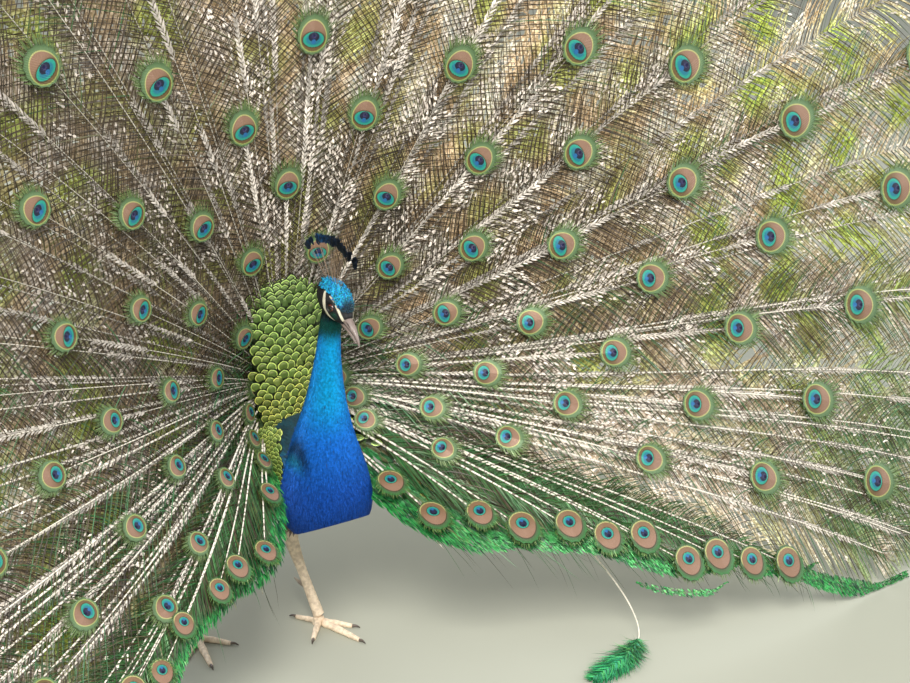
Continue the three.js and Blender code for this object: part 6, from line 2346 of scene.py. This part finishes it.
def hanging_barbs(mesh, side, gen):
    """Long thin dark barbs that hang loose from the rim, more of them on the bird's left."""
    count = HANGING_BARBS if side > 0 else HANGING_BARBS // 4
    reach = gen.uniform(0.14, 0.80, count)
    x, z = rim_place(side, reach, gen.uniform(0.0, 0.02, count))
    length = gen.uniform(0.03, 0.085, count) * (1 - 0.5 * reach)
    s = np.linspace(0, 1, 5)
    way = np.radians(180 - side * gen.uniform(5, 55, count))
    heading = way[:, None] + side * np.radians(gen.uniform(-25, 30, (count, 1))) * s[None, :-1]
    px, pz = walk(x, z, heading, (length / 4)[:, None])
    centres = fan_lift(px, np.maximum(pz, HANGING_CLEARANCE), gen.uniform(0, 5, (count, 1)) * MM)
    halves = across_fan(heading, 0) * (np.array([0.5, 0.45, 0.4, 0.3]) * MM)[None, :, None]
    shade = mix(BARB_DARK, SWORD_GREEN, gen.random(count) * 0.6)
    add_ribbons(mesh, centres, halves, np.repeat(shade[:, None], 5, axis=1), fan_place(x, z))


for name, side in SIDES.items():
    make(f"rim_swords_{name}", build_swords(side), BARB, [f"train_fringe_{name}"])

RIM_VANES = 1300
RIM_VANE_DARK = np.array([0.010, 0.060, 0.022])
RIM_VANE_BROWN = np.array([0.150, 0.105, 0.045])


def build_rim_vanes():
    """Small green feathers that close the train beside the body, down to its lower rims."""
    mesh = Mesh()
    gen = np.random.default_rng(131)
    side = np.where(np.arange(RIM_VANES) % 2, 1, -1)
    reach = 0.050 + 0.27 * gen.random(RIM_VANES) ** 1.5
    depth = gen.random(RIM_VANES)
    drop = 0.010 - (0.045 + 0.03 * (1 - smoothstep(0.08, 0.2, reach))) * depth
    x, z = rim_place(side, reach, drop)
    ahead_x, ahead_z = rim_place(side, reach + 0.012, drop + 0.007)
    lift = gen.uniform(0.0, 9.0, RIM_VANES) * MM * (1 - 0.5 * depth)
    root = fan_lift(x, z, lift)
    way = unit(fan_lift(ahead_x, ahead_z, lift) - root + gen.normal(0, 0.0015, (RIM_VANES, 3)))
    normal = np.array([0.0, -1.0, 0.1]) + gen.normal(0, 0.10, (RIM_VANES, 3))
    normal = unit(normal - way * np.sum(normal * way, axis=-1, keepdims=True))
    tint = mix(RIM_VANE_DARK, SWORD_GREEN, gen.random(RIM_VANES))
    tint = mix(tint, SWORD_BRIGHT, (1 - depth) * gen.uniform(0.0, 0.9, RIM_VANES))
    tint = mix(tint, RIM_VANE_BROWN, depth * (gen.random(RIM_VANES) < 0.6) * gen.uniform(0.2, 0.9, RIM_VANES))
    length = gen.uniform(20, 34, RIM_VANES) * MM
    width = gen.uniform(5.0, 9.0, RIM_VANES) * MM
    add_vanes(mesh, root, way, normal, length, width, tint, fan_place(x, z), lift=0.12, rows=5, columns=4,
              roundness=0.7, cup=0.2)
    return mesh


RIM_VANE = feather_material("rim_vanes", 0.42, metallic=0.25, vary=0.35, scale=200.0, barbs=0.6, specular=0.8)
make("rim_vanes", build_rim_vanes(), RIM_VANE)

# The loose feather, as in the solids: its path, from the rim to its tip on the floor.
LOOSE_PATH = np.array([[318, -172, 224], [352, -214, 176], [392, -262, 112], [420, -304, 48], [412, -340, 9],
                       [352, -376, 3.5], [272, -398, 3]]) * MM
LOOSE_FORK = np.array([[366, -230, 152], [420, -262, 118], [470, -290, 92]]) * MM
LOOSE_VANE_START = 0.70
LOOSE_VANE_END = 0.99
LOOSE_BARBS = 1900


def build_loose():
    """A white shaft that droops to the floor, with green barbs towards its tip."""
    shaft, vane = Mesh(), Mesh()
    gen = np.random.default_rng(140)
    add_limb(shaft, LOOSE_PATH, np.array([1.6, 1.5, 1.4, 1.2, 1.0, 0.8, 0.3]) * MM, 8, 60, CREAM)
    add_limb(shaft, LOOSE_FORK, np.array([1.0, 0.8, 0.4]) * MM, 6, 20, CREAM)
    count = LOOSE_BARBS
    t = LOOSE_VANE_START + (LOOSE_VANE_END - LOOSE_VANE_START) * gen.random(count) ** 1.1
    centre = through(LOOSE_PATH, t)
    ahead = unit(through(LOOSE_PATH, t + 0.01) - through(LOOSE_PATH, t - 0.01))
    across = unit(np.cross(np.array([0, 0, 1.0]), ahead)) * np.where(gen.random(count) < 0.5, 1, -1)[:, None]
    share = (t - LOOSE_VANE_START) / (LOOSE_VANE_END - LOOSE_VANE_START)
    length = 38 * MM * np.sin(np.clip(share * 0.80 + 0.14, 0, 1) * math.pi) * gen.uniform(0.35, 1.1, count)
    loose = (1 - smoothstep(0.15, 0.6, share))[:, None]
    s = np.linspace(0, 1, 5)
    way = unit(across + ahead * gen.uniform(0.3, 1.3, (count, 1)) + gen.normal(0, 0.35, (count, 3)) * loose)
    curl = unit(ahead + gen.normal(0, 0.5, (count, 3)) * (0.25 + loose))
    centres = centre[:, None] + way[:, None] * (length[:, None] * s)[..., None]
    centres = centres + curl[:, None] * (0.45 * length[:, None] * s ** 2)[..., None]
    centres[..., 2] = np.maximum(centres[..., 2] + gen.uniform(-1.0, 6.0, (count, 1)) * MM, 1.0 * MM)
    turned = unit(np.cross(way, np.array([0, 0.1, 1.0]) + gen.normal(0, 0.4, (count, 3))))
    halves = turned[:, None] * (np.array([0.5, 0.6, 0.5, 0.35]) * MM)[None, :, None]
    shade = mix(SWORD_TEAL, SWORD_BRIGHT * 1.25, gen.random(count))
    shade = mix(shade, SWORD_PALE, loose[:, 0] * gen.uniform(0.0, 0.9, count))
    shade = mix(shade, SWORD_DARK, (gen.random(count) < 0.25) * 0.8)
    tints = np.repeat(shade[:, None], 5, axis=1)
    places = np.stack([t * 0.9, gen.random(count) * 0.9], -1)
    add_ribbons(vane, centres, halves, tints, places)
    return shaft, vane


loose_shaft, loose_vane = build_loose()
make("loose_shaft", loose_shaft, SHAFT, ["train_loose_feather"])
make("loose_vane", loose_vane, BARB, ["train_loose_feather"])


# ---------------------------------------------------------------- camera, floor and light

# The photo's camera: how far it is turned and tipped down, where it stands in the bird's own frame in
# metres, and its lens and sensor in millimetres.
CAMERA_YAW = math.radians(35)
CAMERA_PITCH = math.radians(19.544)
CAMERA_PLACE = np.array([-1.2882, -2.2720, 1.4])
CAMERA_LENS = 73.58
SENSOR_WIDTH = 36

camera_data = bpy.data.cameras.new("camera")
camera_data.lens = CAMERA_LENS
camera_data.sensor_width = SENSOR_WIDTH
camera_data.clip_end = 100
camera = bpy.data.objects.new("camera", camera_data)
camera.location = CAMERA_PLACE + BIRD
camera.rotation_euler = (math.pi / 2 - CAMERA_PITCH, 0, -CAMERA_YAW)
bpy.context.scene.collection.objects.link(camera)
bpy.context.scene.camera = camera

FLOOR_HALF = 40.0
FLOOR_COLOUR = (0.39, 0.40, 0.33, 1)
floor_data = bpy.data.meshes.new("floor")
corners = [(-FLOOR_HALF, -FLOOR_HALF, 0), (FLOOR_HALF, -FLOOR_HALF, 0),
           (FLOOR_HALF, FLOOR_HALF, 0), (-FLOOR_HALF, FLOOR_HALF, 0)]
floor_data.from_pydata(corners, [], [(0, 1, 2, 3)])
floor = bpy.data.objects.new("floor", floor_data)
bpy.context.scene.collection.objects.link(floor)
floor_material, _, floor_shader = new_material("floor", 0.9)
floor_shader.inputs["Base Color"].default_value = FLOOR_COLOUR
floor_data.materials.append(floor_material)


def area_light(name, place, target, size, power, colour=(1, 1, 1)):
    """A soft square light that faces its target."""
    data = bpy.data.lights.new(name, "AREA")
    data.size = size
    data.energy = power
    data.color = colour
    light = bpy.data.objects.new(name, data)
    light.location = place
    way = Vector(target) - Vector(place)
    light.rotation_euler = way.to_track_quat("-Z", "Y").to_euler()
    bpy.context.scene.collection.objects.link(light)


area_light("key", (-2.2, -3.2, 4.2), (0, 0, 0.6), 2.2, 400, (1.0, 0.96, 0.90))
area_light("fill", (3.5, -2.8, 2.6), (0, 0, 0.5), 3.0, 100, (0.95, 0.97, 1.0))
area_light("back", (0.5, 4.0, 3.6), (0, 0, 0.7), 3.0, 120)
world = bpy.data.worlds.new("studio")
world.use_nodes = True
background = world.node_tree.nodes["Background"]
background.inputs["Color"].default_value = (0.93, 0.96, 1.0, 1)
background.inputs["Strength"].default_value = 0.55
bpy.context.scene.world = world
bpy.context.scene.view_settings.view_transform = "Standard"
